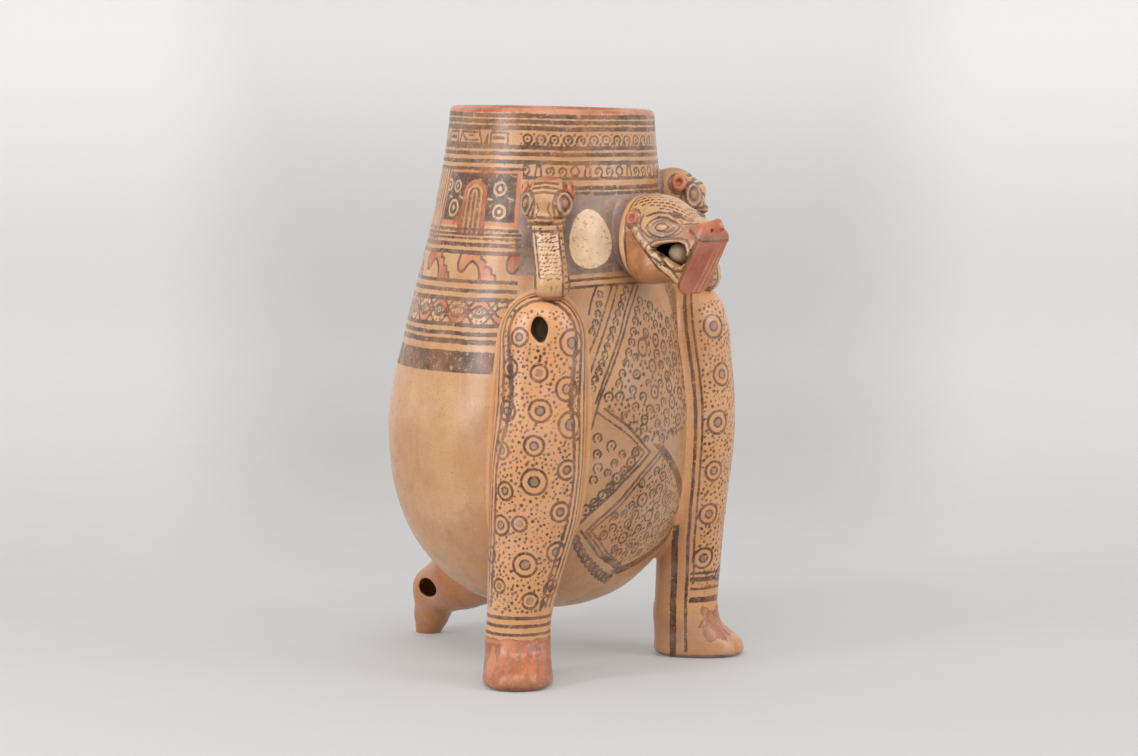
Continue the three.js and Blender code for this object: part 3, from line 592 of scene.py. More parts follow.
HEAD_HEIGHT, HEAD_WALL, HEAD_SQUARE = 249.0, 4.8, 2.2
SKULL_REACH, CHAMBER_END, CHAMBER_SQUARE = 86.0, 118.0, 2.6
RUFF_REACH, RUFF_HALVES, RUFF_ROLL, RUFF_DROP = 76.8, (16.4, 21.6), 2.2, 1.2
HEAD_REACHES = (54, 72, 86, 96, 104, 112, 119, 134)
HEAD_TOPS = (269.5, 270.6, 273.0, 272.2, 269.6, 265.4, 261.6, 257.0)
HEAD_BOTTOMS = (228.0, 227.5, 225.0, 224.4, 223.4, 221.0, 219.0, 219.0)
HEAD_HALF_WIDTHS = (
    (54, 12.6), (70, 13.0), (77, 16.6), (86, 17.8), (96, 17.0),
    (104, 15.2), (112, 13.0), (119, 11.9), (134, 12.2),
)
head_half_width = station_curve(HEAD_HALF_WIDTHS)
head_top = station_curve(zip(HEAD_REACHES, HEAD_TOPS))
head_bottom = station_curve(zip(HEAD_REACHES, HEAD_BOTTOMS))
PLATE_FOOT = np.array([0, -113.5, 219.5])
PLATE_TOP = np.array([0, -131.5, 250.5])
PLATE_HALF_WIDTH, PLATE_HALF_THICK = 11.3, 2.4
plate_up = (PLATE_TOP - PLATE_FOOT) / np.linalg.norm(PLATE_TOP - PLATE_FOOT)
plate_axes = np.array([(1, 0, 0), plate_up, np.cross((1, 0, 0), plate_up)])
plate_half_tall = np.linalg.norm(PLATE_TOP - PLATE_FOOT) / 2
PLATE_EDGE = 2.0
NOSE_AXES = np.array([(1, 0, 0.22), (0, 1, -0.3), (-0.22, 0.3, 1)])
NOSE_HALVES, NOSE_ROUND = np.array([8.4, 5.6, 3.6]), 2.6
nose_centre = PLATE_TOP + (-1.2, 2.6, 4.9)
BRIDGE = nose_centre + (-0.6, 6.5, -2.4), (7.6, 7.0, 4.2)
LEDGE = PLATE_TOP + (-8.6, 1, 0.2), PLATE_TOP + (9.0, 1, 0.8), 2.6, 2.8
NOSTRIL = nose_centre + (5.2, -5.4, -1.2), (1.3, 1.4, 1.0)
EYE_REACH, EYE_HEIGHT, EYE_HALVES = 107.5, 255.3, (9.4, 4.7)
EAR_REACH, EAR_HEIGHT, EAR_FACING = 85, 259.5, (0.9, -0.3, 0.3)
EYE_LID, EYE_BALL, EAR_CUP, EAR_PIT = (0, 0.2, 0.9), (6.6, 3.2, 2.3), (2.4, 0.6, 2.0), (0, 3.4, 1.9)
CHEEK = (10.5, -92, 233), (8.6, 13, 9.5)
BROW = (11.5, -94, 264.5), (11.2, -112, 260.5), 2.2, 1.6
JAW_RISE, JAW_HALF_WIDTH = 1.2, 1.9
MOUTH = (
    (100.8, 243.2), (104, 244.9), (109.5, 246.0), (116, 246.6), (120.6, 245.3), (122.4, 242.3),
    (121.6, 238.4), (118.4, 235.4), (114.4, 234.9), (110.6, 237.2), (107.6, 239.6), (103.6, 242.0),
)
JAW_CORD = ((87.0, 254.8), (91.6, 249.0), (98.2, 243.4), (104.4, 237.0), (110.0, 229.5), (114.0, 224.0))
CHAMBER = ((52, 10.5), (76, 10.7), (92, 13.0), (104, 11.4), (112, 10.2), (CHAMBER_END, 7.6))


def head_section(points):
    """How far forward points lie, with the head's half width, middle height and half height there."""
    reach = -points[:, 1]
    top, bottom = head_top(reach), head_bottom(reach)
    return reach, head_half_width(reach), (top + bottom) / 2, (top - bottom) / 2


def head_side(reach, height):
    """How far the cheek stands out at a reach and height."""
    top, bottom = head_top(reach), head_bottom(reach)
    share = np.clip(abs(height - (top + bottom) / 2) / ((top - bottom) / 2), 0, 0.98)
    return float(head_half_width(reach) * (1 - share**HEAD_SQUARE) ** (1 / HEAD_SQUARE))


eye_centre = np.array([head_side(EYE_REACH, EYE_HEIGHT) - 0.4, -EYE_REACH, EYE_HEIGHT])
eye_axes = frame_of((0.9, -0.34, 0.2))
ear_centre = np.array([head_side(EAR_REACH, 259) - 0.4, -EAR_REACH, EAR_HEIGHT])


def path_distance(u, v, path):
    """Distance from a line of straight stretches in a plane."""
    nearest = np.full(len(u), np.inf)
    for (u0, v0), (u1, v1) in zip(path, path[1:]):
        du, dv = u1 - u0, v1 - v0
        share = np.clip(((u - u0) * du + (v - v0) * dv) / (du * du + dv * dv), 0, 1)
        nearest = np.minimum(nearest, np.hypot(u - u0 - share * du, v - v0 - share * dv))
    return nearest


def mouth_distance(points):
    """Signed distance from the mouth's outline, seen from the side."""
    return outline_distance(-points[:, 1], points[:, 2], MOUTH)


def outline_distance(u, v, outline):
    """Signed distance from a closed outline in a plane, below zero inside."""
    closed = tuple(outline) + tuple(outline[:1])
    nearest = path_distance(u, v, closed)
    inside = np.zeros(len(u), bool)
    for (u0, v0), (u1, v1) in zip(closed, closed[1:]):
        if v0 != v1:
            beside = (v0 > v) != (v1 > v)
            inside ^= beside & (u < (u1 - u0) * (v - v0) / (v1 - v0) + u0)
    return np.where(inside, -nearest, nearest)


def feline_skull(points):
    """The head's round form with its cheeks, its brows and the cord along its jaw."""
    reach, half_width, middle, half_tall = head_section(points)
    side, level = points[:, 0], (points[:, 2] - middle) / half_tall
    shape = (squared_ring(side / half_width, level, HEAD_SQUARE) - 1) * np.minimum(half_width, half_tall)
    both = mirrored(points)
    shape = blend_out(blend_out(shape, ellipsoid(both, *CHEEK), 6.0), cone_between(both, *BROW), 4.0)
    cord = path_distance(reach, points[:, 2], JAW_CORD)
    return shape - np.where(np.abs(side) > 5, JAW_RISE * np.exp(-((cord / JAW_HALF_WIDTH) ** 4)), 0)


def feline_lips(points):
    """A thin roll round the mouth, on the cheek's face."""
    _, half_width, middle, half_tall = head_section(points)
    level = np.abs((points[:, 2] - middle) / half_tall)
    face = half_width * np.clip(1 - level**HEAD_SQUARE, 0.02, 1) ** (1 / HEAD_SQUARE)
    return np.hypot(np.abs(mouth_distance(points) - 2.0), np.abs(points[:, 0]) - face) - 1.0


def feline_head(points):
    shape = blend_out(feline_skull(points), feline_lips(points), 0.8)
    both = mirrored(points)
    flat = (both - eye_centre) @ eye_axes.T
    oval = np.hypot(flat[:, 0] / EYE_HALVES[0], flat[:, 1] / EYE_HALVES[1])
    lid = rolled(((oval - 1) * EYE_HALVES[1], flat[:, 2]), *EYE_LID)
    ball = ellipsoid(both, eye_centre, EYE_BALL, eye_axes)
    shape = blend_out(blend_out(shape, lid, 0.8), ball, 0.6)
    side, reach, height = points[:, 0], -points[:, 1], points[:, 2]
    ruff_ring = np.hypot(side / RUFF_HALVES[0], (height - HEAD_HEIGHT + RUFF_DROP) / RUFF_HALVES[1])
    roll = rolled(((ruff_ring - 1) * 19.0, (reach - RUFF_REACH) * 0.9), 0, 0, RUFF_ROLL)
    shape = blend_out(np.maximum(shape, 60 - reach), roll, 1.6)
    ear = disc_place(both, ear_centre, EAR_FACING, 1.15)
    shape = carve(blend_out(shape, rolled(ear, *EAR_CUP), 1.2), rolled(ear, *EAR_PIT), 0.8)
    behind_plate = (points - PLATE_FOOT) @ plate_axes[2] + PLATE_HALF_THICK - 0.6
    shape = luted(np.maximum(shape, behind_plate), wall_distance(points), 3.0)
    shape = carve(shape, head_chamber(points), 0.8)
    shape = carve(shape, np.maximum(mouth_distance(points) - 1.0, np.abs(side) - 30), 1.0)
    return shape + 0.15 * noise(points, 12, 11)


def head_chamber(points):
    reach = -points[:, 1]
    share = np.clip((reach - SKULL_REACH) / (CHAMBER_END - SKULL_REACH), 0, 1)
    half_width = np.interp(reach, *zip(*CHAMBER))
    top = mix(269.8, 262.5, share) - HEAD_WALL - 2 * share
    bottom = 233.2 + 1.5 * (1 - share)
    middle, half_tall = (top + bottom) / 2, (top - bottom) / 2
    ring = squared_ring(points[:, 0] / half_width, (points[:, 2] - middle) / half_tall, CHAMBER_SQUARE)
    return np.maximum((ring - 1) * half_width, reach - CHAMBER_END)


def plate_place(points):
    """Points in the plate's own frame: across it, up it and out of its face."""
    return (points - (PLATE_FOOT + PLATE_TOP) / 2) @ plate_axes.T


def muzzle_plate(points):
    across, up, out = plate_place(points).T
    corner = mix(6.5, 1.5, np.clip(up / plate_half_tall + 0.5, 0, 1))
    past_side = np.abs(across) - PLATE_HALF_WIDTH + corner
    face = past_corner(past_side, np.abs(up) - plate_half_tall + corner) - corner
    plate = past_corner(face + PLATE_EDGE, np.abs(out) - PLATE_HALF_THICK + PLATE_EDGE) - PLATE_EDGE
    bulge = 0.9 * (1 - (across / PLATE_HALF_WIDTH) ** 2)
    plate = plate - np.where(out > 0, bulge, 0) * 0.8
    flat = (points - nose_centre) @ NOSE_AXES.T
    over = np.abs(flat) - (NOSE_HALVES - NOSE_ROUND)
    nose = np.linalg.norm(np.maximum(over, 0), axis=1) + np.minimum(over.max(1), 0) - NOSE_ROUND
    nose = blend_out(blend_out(nose, cone_between(points, *LEDGE), 6.0), ellipsoid(points, *BRIDGE), 4.0)
    shape = carve(blend_out(plate, nose, 2.4), ellipsoid(mirrored(points), *NOSTRIL), 0.8)
    return shape + 0.12 * noise(points, 9, 12)


# Wall pieces

RIM_FOOT = 305.0
# The seen side, in degrees from the front, has closer columns of points than the far side.
NEAR_TURNS, FAR_TURNS = (-50.0, 112.0), (112.0, 310.0)
NEAR_COLUMNS, FAR_COLUMNS = 316, 264
fine = 1.0


def column_turns():
    near = np.linspace(*NEAR_TURNS, int(NEAR_COLUMNS * fine), endpoint=False)
    far = np.linspace(*FAR_TURNS, int(FAR_COLUMNS * fine), endpoint=False)
    return np.append(near, far)


def profile_between(low, high, spacing, inset=0.0):
    """Points (radius, height) up the wall's profile, evenly apart, set in by `inset`."""
    step = np.gradient(wall_curve, axis=0)
    step /= np.linalg.norm(step, axis=1, keepdims=True)
    curve = wall_curve + inset * np.stack([-step[:, 1], step[:, 0]], -1)
    curve = curve[curve[:, 0] > 0.4]
    length = lengths_along(curve)
    start, end = np.interp([low, high], curve[:, 1], length)
    places = np.linspace(start, end, max(3, int((end - start) / spacing)))
    return np.stack([np.interp(places, length, curve[:, axis]) for axis in (0, 1)], -1)


def rings_of(profile, turns):
    """Wall points for each (radius, height) of a profile and each turn round the jar."""
    radius, height = np.repeat(profile, len(turns), 0).T
    around = outward(-1, np.tile(turns, len(profile)))
    back = np.stack([0 * height, shift_back(height), height], -1)
    even = around * radius[:, None] + back
    return tilted(even + around * hand_built(even)[:, None])


def wall_piece(name, outer, inner, nodes, material, foot_flat=True):
    """A closed shell: outer rings going up, then inner rings going down."""
    turns = column_turns()
    profile = np.vstack([outer, inner])
    points = rings_of(profile, turns)
    count = len(turns)
    faces = ring_faces(len(profile), count, meet=foot_flat)[:, ::-1]
    triangles = []
    if not foot_flat:
        for first, height, turned in ((0, outer[0, 1], False), (len(profile) - 1, inner[-1, 1], True)):
            ring = first * count + np.arange(count)
            middle = np.array([[0, shift_back(height), height]])
            points = np.vstack([points, middle])
            fan = np.stack([ring, np.roll(ring, -1), np.full(count, len(points) - 1)], -1)
            triangles.append(fan[:, ::-1] if turned else fan)
    piece = make_piece(name, points, [faces] + triangles, "vessel", nodes, material)
    edges = np.empty(2 * len(piece.data.edges), int)
    piece.data.edges.foreach_get("vertices", edges)
    row = edges.reshape(-1, 2) // count
    creased = (len(outer) - 1, len(outer), 0, len(profile) - 1)[: 4 if foot_flat else 2]
    sharp = (row[:, 0] == row[:, 1]) & np.isin(row[:, 0], creased)
    piece.data.attributes.new("sharp_edge", "BOOLEAN", "EDGE").data.foreach_set("value", sharp)
    piece.data.update()
    around = np.tile(turns, len(profile))
    return piece, points, around, np.repeat(profile[:, 1], count), len(outer) * count


def lip_profile():
    """The rim from its foot, over a rounded lip, with the top of the inside."""
    half = WALL_THICKNESS / 2
    outer = profile_between(RIM_FOOT, RIM_HEIGHT - half, 0.8)
    inner = profile_between(RIM_FOOT, RIM_HEIGHT - half, 1.6, WALL_THICKNESS)[::-1]
    middle = (outer[-1] + inner[0]) / 2
    turn = np.linspace(0, math.pi, 15)[1:-1]
    over = np.stack([middle[0] + half * np.cos(turn), middle[1] + half * 0.95 * np.sin(turn)], -1)
    return np.vstack([outer, over]), inner


# Painting. Each layer holds, for every point of a piece, how far it lies outside the nearest painted edge.

# The "shade" layer and the layer for the insides of hollows hold painted shade; the others are painted slips.
LAYERS = ("shade", "ground", "panel", "wash", "pale", "red", "grey", "line", "soot")
FAR = 30.0


class Paint:
    """Strokes in flat coordinates (u, v), in millimetres, or about points in space."""

    def __init__(self, points, u, v, keep=None, layers=None):
        self.points, self.u, self.v = points, u, v
        self.layers = layers or {layer: np.full(len(points), FAR) for layer in LAYERS}
        self.keep = np.ones(len(points), bool) if keep is None else keep

    def put(self, layer, distance, where=None):
        values = self.layers[layer]
        if where is None:
            where = self.keep
            distance = distance[where]
        values[where] = np.minimum(values[where], distance)

    def edge(self, layer, distance, at, width, off=0, where=None):
        """A line where a distance has one value. Where `off` is above zero it thins out or ends."""
        self.put(layer, np.abs(distance - at) - width / 2 + off, where)

    def free(self):
        """From here on, strokes may lie on any point."""
        self.keep = np.ones(len(self.points), bool)

    def window(self, low, high, margin=2.5):
        (low_u, low_v), (high_u, high_v) = low, high
        seen = self.keep & (self.v > low_v - margin) & (self.v < high_v + margin)
        return np.flatnonzero(seen & (self.u > low_u - margin) & (self.u < high_u + margin))

    def path(self, layer, path, width=1.2, shut=False):
        path = list(path) + list(path[:1]) if shut else list(path)
        where = self.window(np.min(path, 0), np.max(path, 0))
        self.put(layer, path_distance(self.u[where], self.v[where], path) - width / 2, where)

    def curve(self, layer, path, width=1.2):
        self.path(layer, [tuple(point) for point in curve_through(path, 6)], width)

    def area(self, layer, outline):
        where = self.window(np.min(outline, 0), np.max(outline, 0))
        self.put(layer, outline_distance(self.u[where], self.v[where], outline), where)

    def ring(self, layer, u, v, radius, width=1.1, flat=1.0):
        where = self.window((u - radius * 2, v - radius * 2), (u + radius * 2, v + radius * 2))
        away = np.hypot(self.u[where] - u, (self.v[where] - v) / flat)
        self.edge(layer, away, radius, width, 0, where)

    def dot(self, layer, u, v, radius, flat=1.0):
        where = self.window((u - radius, v - radius * flat), (u + radius, v + radius * flat))
        self.put(layer, np.hypot(self.u[where] - u, (self.v[where] - v) / flat) - radius, where)

    def eye(self, layer, u, v, radius, heart, width=1.1, flat=1.0):
        """A ring with a dot at its heart."""
        self.ring(layer, u, v, radius, width, flat)
        self.dot(layer, u, v, heart)

    def band(self, layer, low, high):
        self.put(layer, np.maximum(low - self.v, self.v - high))

    def bands(self, layer, levels, half=0.5):
        """Level lines, each given by its height and its width."""
        for level, width in levels:
            self.band(layer, level - half * width, level + half * width)

    def scroll(self, layer, u, v, size, turned=1, width=1.0):
        """A small open curl with a dot at its heart."""
        turn = np.radians(np.linspace(-60, 235, 12))
        radius = size * np.linspace(1.0, 0.8, 12)
        self.path(layer, list(zip(u + turned * radius * np.cos(turn), v + radius * np.sin(turn))), width)
        self.dot(layer, u, v, size * 0.24)

    def near(self, centre, radius):
        close = self.keep & (np.abs(self.points[:, 2] - centre[2]) < radius + 2.5)
        where = np.flatnonzero(close)
        return where, np.linalg.norm(self.points[where] - centre, axis=1)

    def round_ring(self, layer, centre, radius, width=1.1):
        where, away = self.near(centre, radius + width)
        self.edge(layer, away, radius, width, 0, where)

    def round_dot(self, layer, centre, radius):
        where, away = self.near(centre, radius)
        self.put(layer, away - radius, where)


def wobbled(points, amount=0.32):
    """How far a steady hand strays from the even line, along u and along v."""
    return [amount * (noise(points, 16, seed) + 0.4 * noise(points, 5, seed + 1)) for seed in (31, 41)]


# Materials


class Nodes:
    """Short names for building a shader."""

    def __init__(self, name):
        self.material = bpy.data.materials.new(name)
        self.material.use_nodes = True
        self.tree = self.material.node_tree
        self.shader = self.tree.nodes["Principled BSDF"]
        self.place = self.tree.nodes.new("ShaderNodeTexCoord").outputs["Object"]

    def put(self, socket, value):
        if isinstance(value, bpy.types.NodeSocket):
            self.tree.links.new(value, socket)
        else:
            socket.default_value = value

    def surface(self, **values):
        """Shader inputs, named with an underscore where they have a space."""
        for name, value in values.items():
            self.put(self.shader.inputs[name.replace("_", " ")], value)
        return self.material

    def math(self, operation, a, b=0.0, clamp=False):
        node = self.tree.nodes.new("ShaderNodeMath")
        node.operation, node.use_clamp = operation, clamp
        self.put(node.inputs[0], a)
        self.put(node.inputs[1], b)
        return node.outputs[0]

    def add(self, a, b):
        return self.math("ADD", a, b)

    def times(self, a, b):
        return self.math("MULTIPLY", a, b)

    def scaled(self, value, low, high, to_low=0.0, to_high=1.0):
        node = self.tree.nodes.new("ShaderNodeMapRange")
        node.interpolation_type = "SMOOTHSTEP"
        for socket, number in zip(node.inputs, (value, low, high, to_low, to_high)):
            self.put(socket, number)
        return node.outputs[0]

    def mix(self, share, a, b):
        node = self.tree.nodes.new("ShaderNodeMix")
        node.data_type = "RGBA"
        for number, value in ((0, share), (6, a), (7, b)):
            self.put(node.inputs[number], value)
        return node.outputs[2]

    def texture(self, kind, size, shift, stretch=(1, 1, 1)):
        """A texture node with features of one size in millimetres."""
        mapping = self.tree.nodes.new("ShaderNodeMapping")
        self.put(mapping.inputs["Vector"], self.place)
        mapping.inputs["Location"].default_value = shift
        mapping.inputs["Scale"].default_value = stretch
        node = self.tree.nodes.new(kind)
        self.put(node.inputs["Vector"], mapping.outputs[0])
        node.inputs["Scale"].default_value = 1 / (size * MM)
        return node

    def noise(self, size, detail=2.0, seed=0.0, stretch=(1, 1, 1), rough=0.55):
        node = self.texture("ShaderNodeTexNoise", size, (seed, seed * 0.7, seed * 1.3), stretch)
        node.inputs["Detail"].default_value = detail
        node.inputs["Roughness"].default_value = rough
        return node.outputs["Fac"]

    def cells(self, size, seed=0.0):
        return self.texture("ShaderNodeTexVoronoi", size, (seed, seed, seed)).outputs["Distance"]

    def layer(self, name):
        node = self.tree.nodes.new("ShaderNodeAttribute")
        node.attribute_name = name
        return node.outputs["Fac"]

    def bump(self, height, depth, under=None):
        node = self.tree.nodes.new("ShaderNodeBump")
        node.inputs["Strength"].default_value = 1.0
        node.inputs["Distance"].default_value = depth * MM
        self.put(node.inputs["Height"], height)
        if under is not None:
            self.put(node.inputs["Normal"], under)
        return node.outputs[0]


def tone(red, green, blue):
    """A colour given as seen (0 to 255) as the linear value a shader takes."""
    parts = [part / 255 for part in (red, green, blue)]
    return tuple(part / 12.92 if part < 0.04 else ((part + 0.055) / 1.055) ** 2.4 for part in parts) + (1.0,)


TAN, ORANGE, BUFF = tone(208, 152, 102), tone(202, 142, 92), tone(197, 150, 104)
SAND, OCHRE = tone(184, 132, 86), tone(166, 103, 57)
CREAM, PALE_CREAM = tone(234, 194, 150), tone(248, 214, 176)
RUST, AMBER = tone(152, 94, 56), tone(170, 110, 67)
BRICK, LIGHT_BRICK = tone(164, 80, 46), tone(193, 116, 72)
INK, WORN_INK = tone(68, 38, 20), tone(112, 70, 42)
SMOKE, MAUVE = tone(100, 82, 74), tone(136, 115, 108)
# Dark clay core for the pits; with a darker tone it is also the painted shade inside hollows.
CORE_AND_SHADE_TONE, HOLLOW_SHADE_TONE = tone(96, 70, 52), tone(40, 30, 26)
# Dust and haze, and the dull brown that painted shade darkens the clay to.
DUST, HAZE, PAINTED_SHADE_TONE = tone(190, 176, 160), tone(206, 190, 186), tone(120, 94, 78)


def toned(colour, factor):
    """A colour made darker or lighter, never past white."""
    return tuple(min(1, factor * part) for part in colour[:3]) + (1,)


def bare_clay_colour(n, low, high, age, cloud, patch, streak, fleck):
    """Clay between two tones, with streaks of the burnishing, darker patches and dark flecks."""
    colour = n.mix(n.scaled(cloud, 0.34, 0.68), low, high)
    colour = n.mix(n.scaled(streak, 0.42, 0.72, 0, 0.14), colour, toned(high, 1.22))
    colour = n.mix(n.scaled(patch, 0.52, 0.78, 0, 0.34 * age), colour, toned(low, 0.62))
    return n.mix(n.scaled(fleck, 0.54, 0.7, 0, 0.5 * age), colour, toned(low, 0.5))


# Looks of each layer: its thin and its full tone, and how much of the clay it covers at least and at most
LOOKS = {
    "ground": (SMOKE, MAUVE, 0.62, 0.92),
    "panel": (WORN_INK, INK, 0.8, 1.0),
    "wash": (LIGHT_BRICK, BRICK, 0.55, 0.9),
    "pale": (CREAM, PALE_CREAM, 0.85, 1.0),
    "red": (BRICK, LIGHT_BRICK, 0.72, 1.0),
    "grey": (MAUVE, SMOKE, 0.45, 0.8),
    "line": (WORN_INK, INK, 0.74, 1.0),
    # The look for the insides of hollows is painted shade, not a paint of the jar.
    "soot": (CORE_AND_SHADE_TONE, HOLLOW_SHADE_TONE, 0.8, 1.0),
}


def with_layers(n, colour, looks, patch, shift):
    """The colour with painted shade and every painted layer over it, and how thick the slip lies."""
    # Painted shade: where the "shade" layer lies, the clay darkens towards a dull brown.
    shade_amount = n.add(n.layer("shade"), n.times(n.math("SUBTRACT", patch, 0.5), 22))
    colour = n.mix(n.scaled(shade_amount, -7, 6, 0.22, 0), colour, PAINTED_SHADE_TONE)
    flaked = n.scaled(n.noise(2.6, 4, 9, rough=0.75), 0.56, 0.66, 1.0, 0.2)
    worn = n.scaled(n.noise(26, 3, 8), 0.36, 0.62)
    thick = 0.0
    for layer, (thin, full, least, most) in looks.items():
        mask = n.scaled(n.add(n.layer(layer), shift), -0.1, 0.34, 1, 0)
        cover = n.scaled(n.noise(8, 3, 10 + len(layer)), 0.3, 0.66, least, most)
        mask = n.times(mask, n.times(cover, flaked))
        fullness = n.scaled(n.add(n.times(patch, 0.5), n.times(worn, 0.5)), 0.3, 0.75)
        colour = n.mix(mask, colour, n.mix(fullness, thin, full))
        if layer in ("line", "red"):
            thick = n.math("MAXIMUM", mask, thick)
    return colour, thick


def slip_painted(name, low, high, painted=True, gloss=0.36, age=1.0, **changed):
    """Burnished clay between two tones, with the painted layers of the piece over it."""
    n = Nodes(name)
    cloud, patch = n.noise(38, 3, 1), n.noise(11, 3, 2)
    speck, grain = n.noise(2.4, 3, 3), n.noise(0.7, 2, 4)
    streak, fleck = n.noise(5, 3, 5, (1, 1, 0.16)), n.noise(1.1, 3, 21, rough=0.7)
    colour = bare_clay_colour(n, low, high, age, cloud, patch, streak, fleck)
    rough = n.scaled(patch, 0.3, 0.75, gloss - 0.07, gloss + 0.1)
    rough = n.add(rough, n.scaled(n.noise(1.8, 3, 22, rough=0.7), 0.45, 0.7, 0, 0.26))
    shift = n.times(n.math("SUBTRACT", n.add(speck, n.times(grain, 0.6)), 0.8), 1.1)
    thick = 0.0
    if painted:
        colour, thick = with_layers(n, colour, {**LOOKS, **changed}, patch, shift)
    chips = n.scaled(n.cells(6.5, 3), 0.035, 0.07, 1, 0)
    chips = n.times(chips, n.scaled(n.noise(30, 2, 12), 0.5, 0.6))
    dusty = n.scaled(n.noise(1.3, 3, 14), 0.62, 0.74, 0, 0.18)
    pits = n.scaled(n.noise(0.8, 2, 24, rough=0.7), 0.66, 0.74, 0, 0.4 * age)
    haze = n.scaled(n.noise(22, 4, 23, rough=0.65), 0.42, 0.7, 0.0, 0.13 * age)
    for share, over in ((n.times(chips, 0.75), DUST), (dusty, DUST), (pits, CORE_AND_SHADE_TONE), (haze, HAZE)):
        colour = n.mix(share, colour, over)
    height = n.add(n.times(grain, 0.35), n.times(speck, 0.8))
    height = n.add(height, n.times(fleck, 0.6))
    height = n.add(height, n.times(thick, 0.35))
    height = n.math("SUBTRACT", height, n.add(n.times(chips, 1.2), pits))
    low_bump = n.bump(n.add(streak, n.times(patch, 1.2)), 0.42)
    return n.surface(
        Base_Color=colour,
        Roughness=n.math("ADD", rough, n.times(dusty, 0.6), clamp=True),
        Normal=n.bump(height, 0.13, low_bump),
        Specular_IOR_Level=0.42,
        Coat_Weight=0.4 if gloss < 0.5 else 0.0,
        Coat_Roughness=0.23,
    )


# Painted designs of the wall. Angles are in degrees from the front, growing towards the right leg.

BACK_START, BACK_END = 55.0, 310.0
FRONT_START = -50.0
# From here on round, strokes are wider, as the columns of points lie farther apart.
COARSE_FROM = NEAR_TURNS[1]
RIM_BAND = (317.4, 330)
RIM_LINES = ((315.7, 1.8), (312.4, 1.6), (308.8, 1.9), (298.2, 1.8), (294.4, 1.6), (290.0, 1.7))
BACK_LINES = (
    (285.8, 1.6), (252.0, 1.1), (249.4, 1.2), (247.0, 1.1), (243.6, 2.1), (239.3, 2.1),
    (223.4, 1.8), (218.4, 1.9), (213.6, 2.1), (199.3, 2.0), (194.6, 2.1), (190.2, 2.7),
)
BELLY_BAND = (173.0, 184.8)


def paint_wall(points, around, height, keep):
    across, over = wobbled(points)
    height = height + over
    whole = Paint(points, around, height, keep)

    def strip(level, start=FRONT_START, end=BACK_END):
        """The same wall unrolled at one level, with its millimetres to a degree."""
        per_degree = math.radians(float(wall_radius(level)))
        chosen = keep & (around > start) & (around < end)
        return Paint(points, around * per_degree + across, height, chosen, whole.layers), per_degree

    whole.band("red", *RIM_BAND)
    whole.bands("line", RIM_LINES, 0.62)
    for design in (rim_motifs, front_scrolls, smoke_ground, side_panels, hooks, twisted_cord):
        design(strip)
    back, _ = strip(200, BACK_START)
    back.bands("line", BACK_LINES)
    back.band("panel", *BELLY_BAND)
    chest(strip)
    return whole


def rim_motifs(strip):
    part, k = strip(303)
    pitch = 39.5
    for start, end, width in ((66, 108, 1.1), (188, 230, 1.5)):
        for u in np.arange(start * k, end * k, pitch):
            part.path("line", [(u, 299.6), (u, 306), (u + 11.5, 306), (u + 11.5, 299.6)], width, shut=True)
            part.path("line", [(u + 2.6, 303), (u + 9.5, 303)], 1.5)
            part.area("line", ((u + 13.2, 299.4), (u + 16.4, 299.4), (u + 13.4, 306.4)))
            slant = [(u + 17.4, 299.6), (u + 20, 306.2), (u + 35, 306.2), (u + 37.5, 299.6)]
            part.path("line", slant, width, shut=True)
            part.path("line", [(u + 21, 301.6), (u + 31, 301.6), (u + 34, 304.4)], width)
            part.path("line", [(u + 24, 304.4), (u + 28.5, 304.4)], width)
    scrolls = [(a, 1) for a in np.arange(-46, 62, 7.2)] + [(a, -1) for a in np.arange(134, 186, 7.4)]
    scrolls += [(a, 1) for a in np.arange(256, 308, 7.4)]
    for number, (angle, turned) in enumerate(scrolls):
        u, width = angle * k, 1.0 if angle < COARSE_FROM else 1.4
        if number % 3 == 2:
            part.eye("line", u, 302.8, 2.4, 0.7, width)
        else:
            part.scroll("line", u, 302.6, 2.7, turned, width)
        part.dot("line", u + 3.9, 305.6, 0.65)
        part.dot("line", u + 3.7, 300.2, 0.65)


def front_scrolls(strip):
    part, k = strip(284, FRONT_START, 57)
    part.bands("line", ((281.4, 1.6), (276.2, 2.2), (273.2, 1.5)))
    for number, angle in enumerate(np.arange(-47, 56, 6.4)):
        u = angle * k
        if number % 4 == 0:
            part.ring("line", u, 285.4, 2.3, 1.1)
        elif number % 4 == 3:
            part.path("line", [(u - 2, 282.6), (u - 1.6, 287.6), (u + 0.6, 288), (u + 1.4, 283)], 0.9)
        else:
            part.scroll("line", u, 285.2, 2.4, -1, 1.0)


def smoke_ground(strip):
    """The dusky ground round the head, with a pale oval on each side and double arches below."""
    part, k = strip(248, FRONT_START, 58)
    part.band("ground", 227.8, 272.4)
    oval_angle, oval_height, half_width, half_tall = 22.6, 247.2, 12.6, 16.2
    turn = np.radians(np.arange(0, 360, 9))
    for angle in (oval_angle, -oval_angle):
        bulge = 1 + 0.05 * np.sin(3 * turn + angle)
        u, v = half_width * bulge * np.cos(turn), half_tall * bulge * np.sin(turn)
        part.area("pale", tuple(zip(angle * k + u, oval_height + v)))
    for level in (226.2, 222.4):
        arch = [(a * k, level - 0.0026 * max(abs(a) - 6, 0) ** 2) for a in range(-46, 47, 4)]
        part.path("line", arch, 1.3)
        part.path("wash", [(u, v + 2.0) for u, v in arch], 1.9)


# Side panels: each arch by its half width, stroke, layer and foot, and the places of rings and dashes
ARCH_TURNS = (0.6, 1.2, 1.57, 1.94, 2.54)
PANEL_ARCHES = ((7.6, 2.2, "red", 250.4), (5.1, 1.4, "wash", 250.4), (1.6, 1.2, "wash", 245.4))
PANEL_RINGS = ((-17, 275.2, 3.5), (-17.6, 262.2, 3.6), (15.8, 275.6, 3.1), (16.6, 263.4, 4.3), (25, 276, 2.9))
PANEL_DASHES = ((-23.5, 269.4), (-11.4, 269), (11.2, 269.4), (21.8, 269.2))


